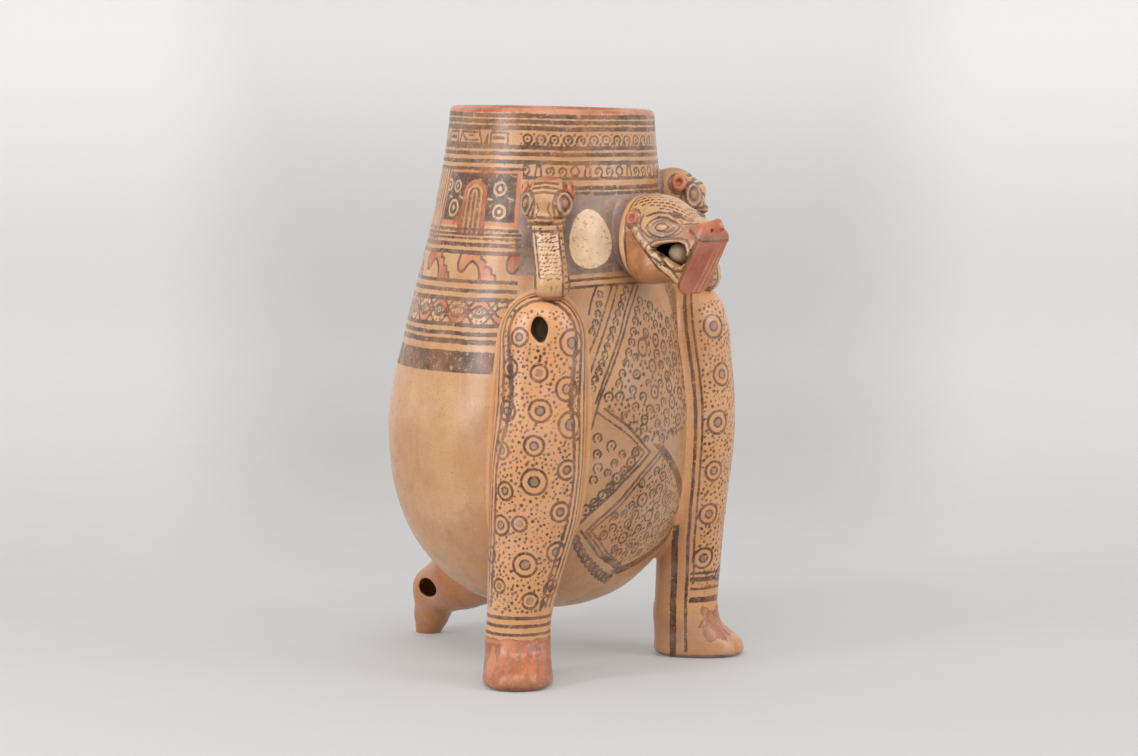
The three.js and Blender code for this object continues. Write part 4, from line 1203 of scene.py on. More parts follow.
def side_panels(strip):
    part, k = strip(268, 50)
    for centre, turned in ((83, 1), (156, -1), (204, 1), (277, -1)):
        side_panel(part, centre * k, turned)
    for centre in (115, 180, 245):
        lines = (-8.0, -4.6, -1.4, 1.8, 5.2, 8.4) if centre != 180 else (-3.2, 0, 3.2)
        for lean, x in enumerate(lines):
            part.path("line", [(centre * k + x, 285), (centre * k + x * 1.04 + 0.3 * lean, 244.6)], 1.0)


def side_panel(part, mid, turned):
    """A dark panel with an arch in its middle. `turned` mirrors it."""

    def at(x, z):
        return mid + turned * x, z

    for left, right, low, high in ((-27.5, 27, 256.2, 283.6), (-9.6, 9.6, 248.6, 257)):
        part.area("panel", (at(left, low), at(right, low), at(right, high), at(left, high)))
    frame = [at(-28.2, 251.8), at(-28.2, 284.6), at(27.4, 284.6), at(27.4, 255.4), at(9, 255.4)]
    part.path("red", frame, 2.2)
    part.path("red", [at(-9, 255.4), at(-28, 255.4)], 2.0)
    top = 272.6
    for reach, width, layer, foot in PANEL_ARCHES:
        arch = [at(-reach, foot), at(-reach, top)]
        arch += [at(-reach * math.cos(t), top + 0.8 * reach * math.sin(t)) for t in ARCH_TURNS]
        part.path(layer, arch + [at(reach, top), at(reach, foot)], width)
    for x, z, radius in PANEL_RINGS:
        part.eye("wash", *at(x, z), radius, radius * 0.3)
    for x, z in PANEL_DASHES:
        part.path("wash", [at(x - 1.6, z), at(x + 1.4, z + 0.6)], 0.9)


def hooks(strip):
    """Red hooked steps: a rounded edge on one side and a stepped edge on the other."""
    part, k = strip(231, BACK_START)
    low, high = 223.8, 238.8
    edge = [(0.4, high), (-1.0, 234), (0.2, 229.6), (3.4, 228.6), (6.2, 232), (9.4, 234.6)]
    edge += [(12.6, 233.2), (15, 229.6), (16.4, low)]
    steps = [(15.2, high), (16, 236), (18.6, 235.4), (19.6, 231.8), (23, 231), (23.6, 227.8)]
    steps += [(25.8, 227.4), (26.6, low)]
    for start in np.arange(112, 300, 26.0).tolist() + [86.0, 60.0]:
        smooth, stepped = ([(start * k - x, z) for x, z in side] for side in (edge, steps))
        smooth = [tuple(point) for point in curve_through(smooth, 5)]
        part.area("red", tuple(smooth + stepped[::-1]))
        part.path("line", smooth, 1.35)
        part.path("line", stepped, 1.25)


def twisted_cord(strip):
    part, k = strip(207, BACK_START)
    middle, rise, length = 206.8, 5.4, 30.0
    start, end = BACK_START * k, BACK_END * k

    def strand(phase, shift=0.0):
        places = np.arange(start - 4, end + 4, 1.5)
        turn = 2 * np.pi * places / length + phase
        return [(float(u), middle + shift + rise * math.sin(t)) for u, t in zip(places, turn)]

    for phase, layer in ((0.0, "red"), (np.pi, "wash")):
        centre = strand(phase)
        part.path(layer, centre, 3.2)
        for side in (-2.2, 2.2):
            part.path("line", strand(phase, side), 1.1)
        if layer == "wash":
            for u, v in centre[::2]:
                part.dot("line", u, v, 0.62)
    half = length / 2
    for place in np.arange(math.ceil(start / half), end / half) * half + half / 2:
        part.eye("line", place, middle, 2.3, 0.7, 0.8, 0.85)


# The chest between the front legs: slanting chains, a spotted field, a chevron and a pointed panel.
# Every place is (degrees from the front, height).

CHEST_LEVEL, CHEST_START, CHEST_END = 140.0, -47, 40
CHAIN_LINES = (
    ((21, 221), (23.5, 214), (25, 206)),
    ((13.2, 222.5), (18.3, 207), (21.8, 194.7), (25.5, 184)),
    ((10.6, 222.3), (16.2, 204), (20.7, 189), (25.2, 173)),
    ((2.4, 221), (7.8, 208), (12.2, 192.5), (17.7, 176), (23, 157)),
    ((-0.2, 220.6), (5.9, 206.6), (10.9, 191.3), (16, 176), (21.3, 159), (24.4, 143)),
)
# Each chain of curls: its route, the size of a curl and the gap from one to the next
CHAINS = (
    (((19.4, 218), (21.6, 204), (25, 193)), 2.1, 5.4),
    (((6.4, 219.5), (11.8, 206), (14.8, 196.5), (18, 186), (21.8, 174), (24.4, 165)), 2.2, 5.0),
    (((-0.6, 213), (2.6, 204.7), (5.1, 194.8), (8, 184), (11.6, 173), (14.2, 164.5)), 2.5, 6.2),
)
# Rings of the spotted field: place, radius and how much taller than wide
FIELD_RINGS = (
    (-1.5, 194.3, 2.2, 1.2), (0.9, 186.7, 3.6, 1.35), (-6.9, 190, 2.6, 1.3), (-11.5, 185.5, 2.6, 1.4),
    (-3.5, 175.7, 2.7, 1.3), (5.1, 172, 2.6, 1.0), (-11.6, 169, 2.3, 1.1), (-12, 163.6, 2.7, 1.3),
    (-3.2, 161.1, 2.9, 1.2), (-13, 154.4, 2.8, 1.3), (-19.3, 158.5, 2.6, 1.3), (-23.9, 164.2, 2.5, 1.3),
    (-18.5, 178, 2.6, 1.3), (-25.5, 180, 2.6, 1.3), (-27, 150, 2.8, 1.3), (-17, 143.5, 2.7, 1.2),
    (-32, 168, 2.7, 1.2), (-24, 195, 2.4, 1.2), (-16.5, 199, 2.3, 1.2), (-34, 140, 2.8, 1.2),
)
CHEVRON = ((19.5, 154), (8.2, 141), (-0.6, 127.6), (3.9, 120.6), (10.3, 112.7), (19.9, 99.4), (27.5, 89))
INNER_CHEVRON = ((22.6, 152.4), (9.2, 137.6), (2, 127.6), (5.6, 121.6), (12, 113.4))
CHEVRON_BEADS = ((6.1, 128), (8.5, 121.1), (12.6, 116), (19.4, 104.4), (27.8, 93.5))
CORNER_CURLS = (
    (21.9, 137.6, 2.9), (16.4, 132.7, 3.2), (22, 128.5, 2.7), (11.8, 127.2, 2.4), (15, 122.6, 2.4),
    (21.6, 120.7, 2.9), (27, 124, 2.6), (27, 134, 2.7), (17.6, 117.6, 2.3), (23.1, 113.8, 2.6),
    (27.6, 114, 2.5), (26.6, 145, 2.4),
)
# The pointed panel: its tip, its left corner, its foot, and the way down its right side
PANEL_TIP, PANEL_LEFT, PANEL_FOOT = (-8.1, 130), (24.2, 84.6), (-0.8, 55)
PANEL_RIGHT = ((-13.7, 122.5), (-21.6, 111), (-29.5, 98), (-36, 88), (-33.2, 73.5), (-20, 63))
PANEL_SPOTS = (
    (-13.9, 98.9, 4.8), (-13.9, 98.9, 2.4), (0.7, 100, 3.7), (-4.3, 90, 3.2), (6.1, 86.7, 2.6),
    (16.6, 81.2, 2.6), (6.8, 78.4, 3.1), (9.4, 72, 2.3), (-9, 112.5, 2.6), (-22, 98.5, 3.2), (-22, 86, 3.4),
    (-12, 80, 3.2), (-3, 70.5, 2.8), (2, 109.6, 2.3), (-14, 70.5, 2.6), (13, 92.2, 2.2),
)
FRINGE = ((28.8, 80), (26, 73), (21.4, 65.6), (14.6, 58.6), (7.4, 53.9), (0.6, 51.4))
# Lines down the far side: degrees, height and how many degrees on the next line lies
SIDE_LINES = ((-19, 221, 1.5), (-24.6, 196, 1.1), (-29, 168, 1.0), (-31.5, 140, 0.9))
SIDE_CHEVRON = ((-40, 163), (-31, 141), (-40, 117))
UPPER_FIELD = (
    (-0.6, 216), (17, 166), (22.5, 152.6), (10, 140), (-1, 130),
    (-12, 132), (-29, 141), (-35, 160), (-27, 200),
)
LOWER_FIELD = ((-8, 125), (10, 99), (20.5, 86), (1, 60), (-18, 66), (-31, 78), (-31, 92), (-20, 112))
# Outline of the painted shade over the chest between the front legs.
SHADED_CHEST_OUTLINE = (
    (4, 190), (20, 156), (22, 110), (14, 88), (-4, 70), (-20, 76), (-34, 90), (-36, 150), (-30, 185),
)


def spaced(path, gap, first=0):
    """Places evenly apart along a smooth curve through the points of a path."""
    line = curve_through(path, 40)
    length = lengths_along(line)
    places = np.arange(first, length[-1], gap)
    return list(zip(*(np.interp(places, length, line[:, axis]).tolist() for axis in (0, 1))))


def chest(strip):
    part, k = strip(CHEST_LEVEL, CHEST_START, CHEST_END)

    def on(path):
        """Chest strokes keep their angles, so they draw in towards the neck as the wall does."""
        return [(angle * k, level) for angle, level in path]

    chest_chains(part, on, k)
    chest_chevron(part, on, k)
    pointed_panel(part, on, k)
    for number in range(8):
        part.curve("line", on([(angle - step * number, level) for angle, level, step in SIDE_LINES]), 0.85)
    for shift in (0, 2.6):
        part.path("line", [(u - shift, v) for u, v in on(SIDE_CHEVRON)], 1.1)
    for seed, (outline, curls, size, dots, least, most, gap) in enumerate(
        ((UPPER_FIELD, 34, 3.0, 1500, 0.55, 0.95, 1.0), (LOWER_FIELD, 26, 3.1, 2200, 0.5, 0.72, 0.8))
    ):
        speckled(part, on(outline), curls, size, dots, least, most, gap, 12 + seed)
    # Painted shade over the chest between the front legs.
    part.put("shade", outline_distance(part.u, part.v, on(SHADED_CHEST_OUTLINE)))


def chest_chains(part, on, k):
    for path in CHAIN_LINES:
        part.curve("line", on(path), 1.15)
    for path, size, gap in CHAINS:
        for number, (u, v) in enumerate(spaced(on(path), gap, 1)):
            part.scroll("line", u, v, size, 1 if number % 2 else -1, 0.95)
    for angle, level, radius, flat in FIELD_RINGS:
        part.eye("line", angle * k, level, radius, 0.8, 1.05, flat)


def chest_chevron(part, on, k):
    part.path("line", on(CHEVRON), 1.5)
    part.path("line", on(INNER_CHEVRON), 1.0)
    for angle, level, radius in CORNER_CURLS:
        part.scroll("line", angle * k, level, radius)
    for number, (u, v) in enumerate(spaced(on(CHEVRON_BEADS), 6.3)):
        part.eye("line", u, v, 2.9 if number % 2 else 2.3, 0.8, 1.25)


def pointed_panel(part, on, k):
    tip, left, foot = on((PANEL_TIP, PANEL_LEFT, PANEL_FOOT))
    for shift, width in ((0, 1.5), (3.6, 1.0)):
        upper = [(u, v - shift) for u, v in on((PANEL_TIP, (1.4, 117.4), (11.7, 101.4)))]
        part.path("line", upper + [(left[0] - shift, left[1])], width)
    for shift, width in ((-1.6, 1.5), (1.8, 1.1), (5.0, 1.1)):
        middle = (15.8 * k - shift, 68.9 + shift * 0.2)
        part.path("line", [(left[0] - shift + 2.4, left[1]), middle, (foot[0] - shift, foot[1] + 2)], width)
    for shift in (0, 2.3, 4.6, 6.9, 9.2):
        part.curve("line", [(u + shift, v + shift * 0.25) for u, v in [tip] + on(PANEL_RIGHT) + [foot]], 0.9)
    for angle, level, radius in PANEL_SPOTS:
        part.ring("line", angle * k, level, radius, 1.0)
        if radius < 4.5:
            part.dot("line", angle * k, level, 0.75)
    for u, v in spaced(on(FRINGE), 4.9, 1):
        part.ring("line", u, v, 2.6, 1.15)
        part.ring("line", u, v, 1.1, 0.7)


def speckled(part, outline, curls, size, dots, least, most, gap, seed):
    """Curls strewn over a field, with small dots wherever there is room between strokes."""
    chance = np.random.default_rng(seed)
    line = part.layers["line"]
    where = part.window(np.min(outline, 0), np.max(outline, 0))
    near = where[outline_distance(part.u[where], part.v[where], outline) < -2.0]
    for count, kind in ((curls * 8, "curl"), (dots, "dot")):
        placed = 0
        for index in chance.permutation(near)[:count]:
            u, v, clear = part.u[index], part.v[index], line[index]
            if kind == "curl" and placed < curls and clear > size * 0.95:
                radius = min(size, clear - 0.6) * chance.uniform(0.75, 1.0)
                part.scroll("line", u, v, radius, chance.choice((-1, 1)), 1.05)
                placed += 1
            elif kind == "dot" and clear > gap + 0.5:
                part.dot("line", u, v, chance.uniform(least, most), chance.uniform(1.0, 1.5))


# Painted designs of the limbs and heads

# Rings of the near leg and of the far one: degrees round the leg from straight out, height and radius
RINGS = (
    (-29, 195.8, 5.0), (45.8, 192.4, 7.2), (-41.4, 178.5, 5.0), (0.1, 176.4, 4.6), (37.5, 167.3, 6.6),
    (-41.5, 154.9, 5.5), (3.2, 155.7, 6.1), (43.4, 147.5, 7.2), (-1.5, 136.4, 5.5), (43.4, 122.4, 5.5),
    (1.4, 116.2, 7.2), (-37, 110.4, 5.0), (39.9, 98.9, 5.5), (-40.6, 90.9, 5.5), (47.5, 76.1, 5.5),
    (5, 69.3, 6.6), (-31.8, 56.6, 3.9), (60.5, 55.2, 5.0), (26.2, 48.8, 4.4), (-46, 133, 4.8),
    (-12, 92.5, 4.2), (-60, 73.5, 4.4),
)
LEFT_RINGS = (
    (-56, 195.6, 6.6), (-46, 167.8, 6.4), (-59, 140.4, 6.6),
    (-61, 112, 5.6), (-64.8, 86.5, 6.0), (-72, 59.8, 6.2),
)
DOT_TRIES, DOT_TURNS, DOT_HEIGHTS, DOT_RADII = 9000, (-56, 56), (42, 210), (0.5, 1.0)
LEFT_DOT_TURNS = (-80, 56)
# Lines down the sides of the legs: how far out they lie, and their width
EDGE_LINES, LEFT_EDGE_LINES = ((0.6, 1.6), (5.8, 1.2), (9.0, 1.2), (12.0, 1.2)), ((-1.6, 1.6), (2.0, 1.0))
ANKLE_LINES = ((38.9, 1.7), (34.3, 1.7), (29.6, 1.5))
LEFT_ANKLE_LINES = ((50.4, 1.3), (46.8, 2.6), (41.0, 1.2), (34.4, 3.2))
TOE_STRIPES, LEFT_TOE_STRIPES = (-14.0, -8.4, -2.6, 3.2, 9.0, 14.6), (-10.5, -5.2, 0.2, 5.6, 10.8)
FOOT_BLOTCHES = ((2.4, 4.5, 16), (1.2, 1.9, 17))


def leg_spot(sign, turned, height):
    """A point of the leg's face, turned so many degrees from straight out."""
    angle, turn = leg_angle(height), math.radians(turned)
    slim = (1 - np.clip((height - KNEE_HEIGHT) / (LEG_TOP - KNEE_HEIGHT), 0, 0.99) ** 2.3) ** (1 / 2.1)
    across = sideways(sign, angle) * leg_width(height) / 2 * slim * math.sin(turn)
    reach = leg_reach(height) + leg_depth(height) / 2 * slim * math.cos(turn)
    return across + polar_point(sign, angle, reach, height)


def leg_rings(paint, sign, rings):
    for turned, level, radius in rings:
        spot = leg_spot(sign, turned, level)
        paint.round_ring("line", spot, radius, 1.4)
        paint.round_dot("grey", spot, radius * 0.5)
        if radius > 4.6:
            paint.round_ring("line", spot, radius * 0.4, 0.9)


def leg_dots(paint, sign, rings):
    """Dots strewn wherever the rings, the vent and the dots before them leave room."""
    chance = np.random.default_rng(20 + sign)
    taken = np.array([leg_spot(sign, t, h) for t, h, _ in rings] + [leg_spot(sign, 0, VENT_HEIGHT)])
    space = np.array([r + 1.2 for _, _, r in rings] + [8.5])
    for _ in range(DOT_TRIES):
        turned = chance.uniform(*(DOT_TURNS if sign < 0 else LEFT_DOT_TURNS))
        spot, radius = leg_spot(sign, turned, chance.uniform(*DOT_HEIGHTS)), chance.uniform(*DOT_RADII)
        if (np.linalg.norm(taken - spot, axis=1) > space + radius).all():
            taken, space = np.vstack([taken, spot]), np.append(space, 0.75 + radius)
            paint.round_dot("line", spot, radius)


def leg_lines(paint, points, sign, wander):
    """Lines down both edges of the leg, a plain strip on its inner side and bands at the ankle."""
    across, out, _, half_depth = leg_place(points, sign)
    height = paint.v
    lifted = mix(out, wall_distance(points) - 5.5, np.clip((points[:, 2] - 118) / 40, 0, 1)) + wander
    inner = -sign * np.sign(across)
    if sign > 0:
        lifted = lifted + 1.8 * np.clip((104 - height) / 30, 0, 1)
    for level, width in EDGE_LINES if sign < 0 else LEFT_EDGE_LINES:
        foot = 44 if sign < 0 or level > 0 else 4
        edge = np.abs(lifted - level) - width / 2
        paint.put("line", np.maximum(edge, np.where((inner > 0) | (foot > 4), foot, 54) - height))
    strip = np.abs(out + 10.5 + wander) - 1.6
    paint.put("panel", np.maximum(strip, np.where(inner > 0, height - 80, FAR)))
    around = np.where((out > -half_depth * 0.5) & ((out > -1.6) | (inner < 0)), 0, 3.0)
    for level, width in ANKLE_LINES if sign < 0 else LEFT_ANKLE_LINES:
        paint.edge("line", height, level, width, around)


def foot_wash(paint, points, sign, wander):
    """A thin red wash over the foot, with toes drawn on it as stripes."""
    height = paint.v
    away = points - polar_point(sign, FOOT_ANGLE, FOOT_SPREAD, 0)
    beside, ahead = away @ sideways(sign, TOE_ANGLE), away @ outward(sign, TOE_ANGLE)
    blotch = patchy(points, FOOT_BLOTCHES)
    if sign < 0:
        paint.put("wash", np.maximum(height - 27.0, -13 - ahead) + blotch * 0.3)
        for place in TOE_STRIPES:
            stripe = np.abs(beside + 0.8 * wander - place - 0.05 * (height - 14)) - 1.5
            stripe = np.maximum(np.maximum(stripe, np.abs(height - 14.5) - 8.5), -2 - ahead)
            paint.put("red", stripe + blotch * 0.7)
        paint.put("red", np.maximum(np.abs(height - 25.2) - 1.2, -4 - ahead) + blotch * 0.4)
        return
    front = 9 - ahead
    paint.put("wash", np.maximum(np.maximum(height - 29, 12 - height), front * 0.6) + blotch)
    for place in LEFT_TOE_STRIPES:
        stripe = np.abs(beside + wander - place) - 1.2
        paint.put("red", np.maximum(np.maximum(stripe, height - 28), front + 1) + blotch * 0.55)


def paint_leg(points, sign):
    wander, stray = wobbled(points, 0.25)
    skin = (leg_distance(points, sign) > -2.6) | (points[:, 2] < 29)
    paint = Paint(points, leg_place(points, sign)[0] + wander, points[:, 2] + stray, skin)
    rings = RINGS if sign < 0 else tuple((-t, h, r) for t, h, r in RINGS if t < 34) + LEFT_RINGS
    leg_rings(paint, sign, rings)
    leg_dots(paint, sign, rings)
    leg_lines(paint, points, sign, wander)
    foot_wash(paint, points, sign, wander)
    # The lowest 2.2 mm of the sole takes the grey ground tone: darker along the very bottom.
    paint.put("ground", points[:, 2] - 2.2)
    # Painted shade: the feet darken towards the floor.
    paint.put("shade", points[:, 2] - 26)
    paint.keep = points[:, 2] > 30
    # Painted shade: the inside of the leg's hollow is darkened.
    paint.put("soot", leg_distance(points, sign) + 1.9)
    return paint


# Lines down both sides of an arm: place, lowest and highest point, and width
ARM_LINES = (
    (-8.8, 222, 258, 1.3), (-6.6, 228, 254, 0.7),
    (6.2, 216, 256, 1.1), (9.6, 218, 258, 1.3),
)


def paint_arm(points, sign):
    across = sideways(sign, ARM_ANGLE)
    wander, stray = wobbled(points, 0.2)
    lean = ARM_SLANT * np.clip((points[:, 2] - ARM_FOOT) / (ARM_TOP - ARM_FOOT), 0, 1)
    paint = Paint(points, points @ across * -sign + lean + wander, points[:, 2] + stray)
    paint.band("pale", 218, 256)
    for u, low, high, width in ARM_LINES:
        paint.path("line", [(u, high), (u * 1.02, (low + high) / 2), (u, low)], width)
    paint.area("wash", ((6.8, 218), (9.2, 218), (9.2, 254), (6.8, 254)))
    paint.put("wash", points[:, 2] - 220.5 + 1.5 * noise(points, 5, 18))
    chance = np.random.default_rng(50 + sign)
    for row, v in enumerate(np.arange(227.5, 254, 2.2)):
        for u in np.arange(-5.4 + (row % 2) * 0.9, 5.6, 1.9):
            u, v_here = u + chance.normal(0, 0.25), v + chance.normal(0, 0.3)
            paint.path("line", [(u - 0.45, v_here - 0.2), (u + 0.45, v_here + 0.2)], chance.uniform(0.4, 0.8))
    for v in np.arange(222, 252, 3.4):
        paint.dot("line", 8, v, 0.62)
    paint.bands("line", ((261, 1.1), (257.1, 1.1), (253.2, 1.3), (214.4, 2.0)))
    return paint


CREST_EYE_RINGS = ((5.4, 1.1, "pale"), (6.7, 1.3, "line"), (3.9, 1.1, "line"), (5.0, 0.9, "grey"))
CROWN_LINES = ((6.6, 8.3, 9.3), (6.8, 5.9, 6.9), (6.2, 3.4, 4.2))


def paint_crest_head(points, sign):
    local = (points - crest_centre(sign)) @ crest_axes(sign).T
    wander, stray = wobbled(points, 0.18)
    x, y, z = local.T
    paint = Paint(points, x + wander, z + stray, y > 3)
    for half, side_level, middle in CROWN_LINES:
        for layer, drop, width in (("line", 0, 1.25), ("pale", 1.2, 1.4)):
            ends = [(-half, side_level - drop), (half, side_level - drop)]
            paint.path(layer, [ends[0], (0, middle - drop), ends[1]], width)
    for side in (-1, 1):
        paint.path("line", [(side * 6.3, 3.4), (side * 5.2, -2), (side * 6.2, -9.2)], 1.2)
        paint.path("line", [(side * 3.6, -1.6), (side * 2.4, -5.4), (side * 4.2, -8.6)], 0.7)
    paint.free()
    paint.put("wash", 10.2 - z + 0.03 * x**2)
    paint.edge("line", z + 9.6 + 0.03 * np.abs(x), 0, 1.3, np.where(y > 1, 0, 3))
    paint.edge("line", z, -12.6, 1.3, np.where(y > -1, 0, 3))
    both = mirrored(local)
    away = np.linalg.norm((both - CREST_EYE) / (1, 1, 1.1), axis=1)
    for radius, width, layer in CREST_EYE_RINGS:
        paint.edge(layer, away, radius, width)
    paint.put("wash", away - 3.4)
    paint.put("line", away - 0.9)
    away = np.linalg.norm((both - CREST_EAR) / (1, 1, 1.15), axis=1)
    paint.put("red", away - 4.9)
    paint.edge("line", away, 5.7, 1.2)
    paint.put("ground", wall_distance(points) - 2.6)
    return paint


# Feline head, seen from the side: places are (reach, height)
THROAT = (
    (78, 251), (85.4, 253), (89.6, 247.2), (96.4, 241.4), (102.4, 235),
    (108, 227.6), (112, 219), (96, 218), (80, 222),
)
MUZZLE_WASH = ((110, 249.6), (117, 249.8), (127, 249), (128, 257.5), (117, 256.6), (114.4, 253))
ALMOND = (
    (95.6, 255), (98.4, 258.6), (103, 260.8), (109.4, 260.8), (113.4, 258.8), (116.8, 256), (113, 252.4),
    (107, 249.8), (100.4, 250.4),
)
# Ovals of the eye inside the almond: layer, height of the middle, share of its width and height, stroke
EYE_OVALS = (("grey", 255.4, 0.72, 0.68, 1.5), ("line", 255.6, 0.44, 0.38, 0.8))
FACE_LINES = (
    (((93, 253.4), (97.5, 250), (104, 248.4), (113, 249.4), (122, 249.2)), 1.0),
    (((94.6, 261.4), (102, 263.6), (110, 263.2), (116, 260.2), (121.8, 259.4)), 0.95),
    (((116.6, 257.4), (121, 257.6), (127, 257.8)), 0.85),
    (((92.4, 262), (91.2, 257), (92.6, 252.6)), 0.85),
)


def paint_jaw(paint):
    """The throat, the cord along the jaw with its curls, the lips and the dots under the mouth."""
    paint.area("wash", THROAT)
    cord = path_distance(paint.u, paint.v, JAW_CORD)
    paint.put("pale", cord - 2.0)
    paint.edge("line", cord, 2.5, 1.1)
    curve = curve_through(JAW_CORD, 20)
    for share in (0.1, 0.28, 0.46, 0.64):
        paint.scroll("line", *curve[int(share * len(curve))], 1.35, 1, 0.65)
    around = outline_distance(paint.u, paint.v, MOUTH)
    paint.put("pale", np.maximum(around - 3.0, (paint.v - 244) * 0.9))
    paint.edge("line", around, 3.6, 1.0)
    for share in np.linspace(0.05, 0.95, 6):
        u, v = mix(115, 122.6, share), mix(231.2, 239.4, share)
        paint.dot("line", u, v, 0.5)
        paint.dot("line", u - 1.4, v + 1.6, 0.5)


def paint_eye(paint):
    paint.area("wash", MUZZLE_WASH)
    paint.path("line", ALMOND, 1.2, shut=True)
    for layer, level, wide, tall, width in EYE_OVALS:
        oval = tuple((106 + (u - 106) * wide, level + (v - level) * tall) for u, v in ALMOND)
        paint.path(layer, oval, width, shut=True)
    for path, width in FACE_LINES:
        paint.path("line", path, width)


def paint_crown(top):
    """Rows of short dashes over the crown, with three grey bars between the brows."""
    for row, u in enumerate(np.arange(83, 121, 3.3)):
        for v in np.arange(-15.5 + (row % 2) * 1.55, 16, 3.1):
            if not (abs(v) < 5 and 95 < u < 110):
                top.path("line", [(u - 0.6, v - 0.35), (u + 0.6, v + 0.35)], 1.25)
    for u in (97.5, 101.2, 104.9):
        top.path("grey", [(u, -4.4), (u + 0.8, 4.4)], 1.9)


def paint_head(points):
    reach, half_width, middle, half_tall = head_section(points)
    x, z = points[:, 0], points[:, 2]
    wander, stray = wobbled(points, 0.2)
    chamber = head_chamber(points)
    paint = Paint(points, reach + wander, z + stray, (np.abs(x) > 4.5) & (chamber > 1.2))
    paint_jaw(paint)
    paint_eye(paint)
    paint.free()
    away = np.linalg.norm(mirrored(points) - ear_centre, axis=1)
    paint.put("red", away - 4.7)
    paint.edge("line", away, 5.5, 1.1)
    # Painted shade: the inside of the head's hollow is darkened.
    paint.put("soot", chamber - 0.9)
    before_ruff = reach - RUFF_REACH
    paint.edge("pale", before_ruff, 0, 3.8, np.where(reach < 82, 0, 5))
    paint.edge("line", before_ruff, 2.7, 1.1)
    paint.put("ground", before_ruff + 2.0)
    crown = np.arctan2(np.abs(x) / half_width, (z - middle) / half_tall) * 21 * np.sign(x) + stray
    paint_crown(Paint(points, reach + wander, crown, (chamber > 1.2) & (z > 258), paint.layers))
    return paint


def paint_plate(points):
    across, up, out = plate_place(points).T
    wander, stray = wobbled(points, 0.3)
    paint = Paint(points, across + wander, up + stray, out > -1.6)
    for place in (1.4, 5.2, 8.6):
        paint.path("pale", [(place - 2.4, -16), (place - 0.4, 0), (place + 0.4, 15.4)], 1.0)
    rim = np.maximum(np.abs(across) - PLATE_HALF_WIDTH, np.abs(up) - plate_half_tall)
    paint.edge("line", rim, -0.3, 1.0, np.where(out < 1.2, 0, 2.0))
    paint.free()
    past_seam = up - (plate_half_tall + 0.8)
    paint.edge("grey", past_seam, 0, 1.8)
    paint.edge("line", past_seam, -1.4, 0.8)
    # Painted highlight: a pale spot on top of one end of the nose.
    nose = points - (PLATE_TOP + (5.6, -1.5, 6.6))
    paint.put("pale", np.linalg.norm(nose / (1.5, 1, 1), axis=1) - 2.2)
    return paint


# Pieces

wall_clay = slip_painted("painted_wall_clay", SAND, BUFF, wash=(SAND, tone(212, 166, 120), 0.6, 1.0))
limb_clay = slip_painted(
    "painted_limb_clay", ORANGE, TAN, wash=(tone(158, 93, 57), tone(140, 75, 44), 0.62, 0.94)
)
arm_clay = slip_painted(
    "painted_arm_clay", SAND, BUFF, pale=(BUFF, tone(214, 172, 130), 0.5, 0.85), wash=(RUST, AMBER, 0.65, 0.9)
)
head_clay = slip_painted(
    "painted_head_clay", SAND, BUFF, wash=(RUST, AMBER, 0.75, 1.0), pale=(BUFF, tone(216, 172, 126), 0.5, 0.9)
)
plate_clay = slip_painted("red_slipped_clay", BRICK, LIGHT_BRICK, pale=(LIGHT_BRICK, TAN, 0.5, 0.9))
bare_clay = slip_painted("bare_orange_clay", OCHRE, tone(178, 117, 69), painted=False)
ball_clay = slip_painted("pebble_clay", tone(204, 172, 140), tone(216, 188, 156), painted=False, gloss=0.6)


def painted_wall(name, outer, inner, nodes, foot_flat=True):
    piece, points, around, height, outside = wall_piece(name, outer, inner, nodes, wall_clay, foot_flat)
    keep = np.arange(len(points)) < outside
    extra = len(points) - len(around)
    around, height = np.append(around, [0] * extra), np.append(height, [BOTTOM_HEIGHT] * extra)
    add_values(piece, **paint_wall(points, around, height, keep).layers)


def field_piece(name, field, low, high, step, nodes, slot, material, paint=None, body="vessel"):
    points, faces = mesh_of_field(field, low, high, step / fine)
    piece = make_piece(name, points, faces, body, nodes, material)
    if paint:
        add_values(piece, **paint(points).layers)


outer, inner = lip_profile()
painted_wall("rim_skin", outer, inner, ["rim_coil"])
outer = profile_between(BOWL_TOP, RIM_FOOT, 1.05 / fine)
inner = profile_between(BOWL_TOP, RIM_FOOT, 22, WALL_THICKNESS)[::-1]
painted_wall("neck_skin", outer, inner, ["neck"])
outer = profile_between(BOTTOM_HEIGHT, BOWL_TOP, 1.15 / fine)
inner = profile_between(BOTTOM_HEIGHT + BOTTOM_THICKNESS, BOWL_TOP, 12, WALL_THICKNESS)[::-1]
painted_wall("bowl_skin", outer, inner, ["bowl"], False)


# Boxes that hold the pieces: how far they reach to both sides of a piece's middle, or two corners
LEG_MARGIN = (32, 32, 3)
ARM_BELOW, ARM_ABOVE, ARM_MIDDLE = (19, 19, 29), (19, 19, 25), (82, 240)
CREST_BELOW, CREST_ABOVE = (23, 23, 17), (23, 23, 18)
REAR_BOX = (-27, 25, -1), (27, 126, 66)
HEAD_BOX = (-24, -134, 215), (24, -50, 278)
PLATE_BOX = (-15, -147, 215), (15, -106, 266)
# Steps of the grids that the pieces are meshed on
SMALL_STEP, HEAD_STEP, LEG_STEP, REAR_STEP = 0.5, 0.55, 0.9, 0.95


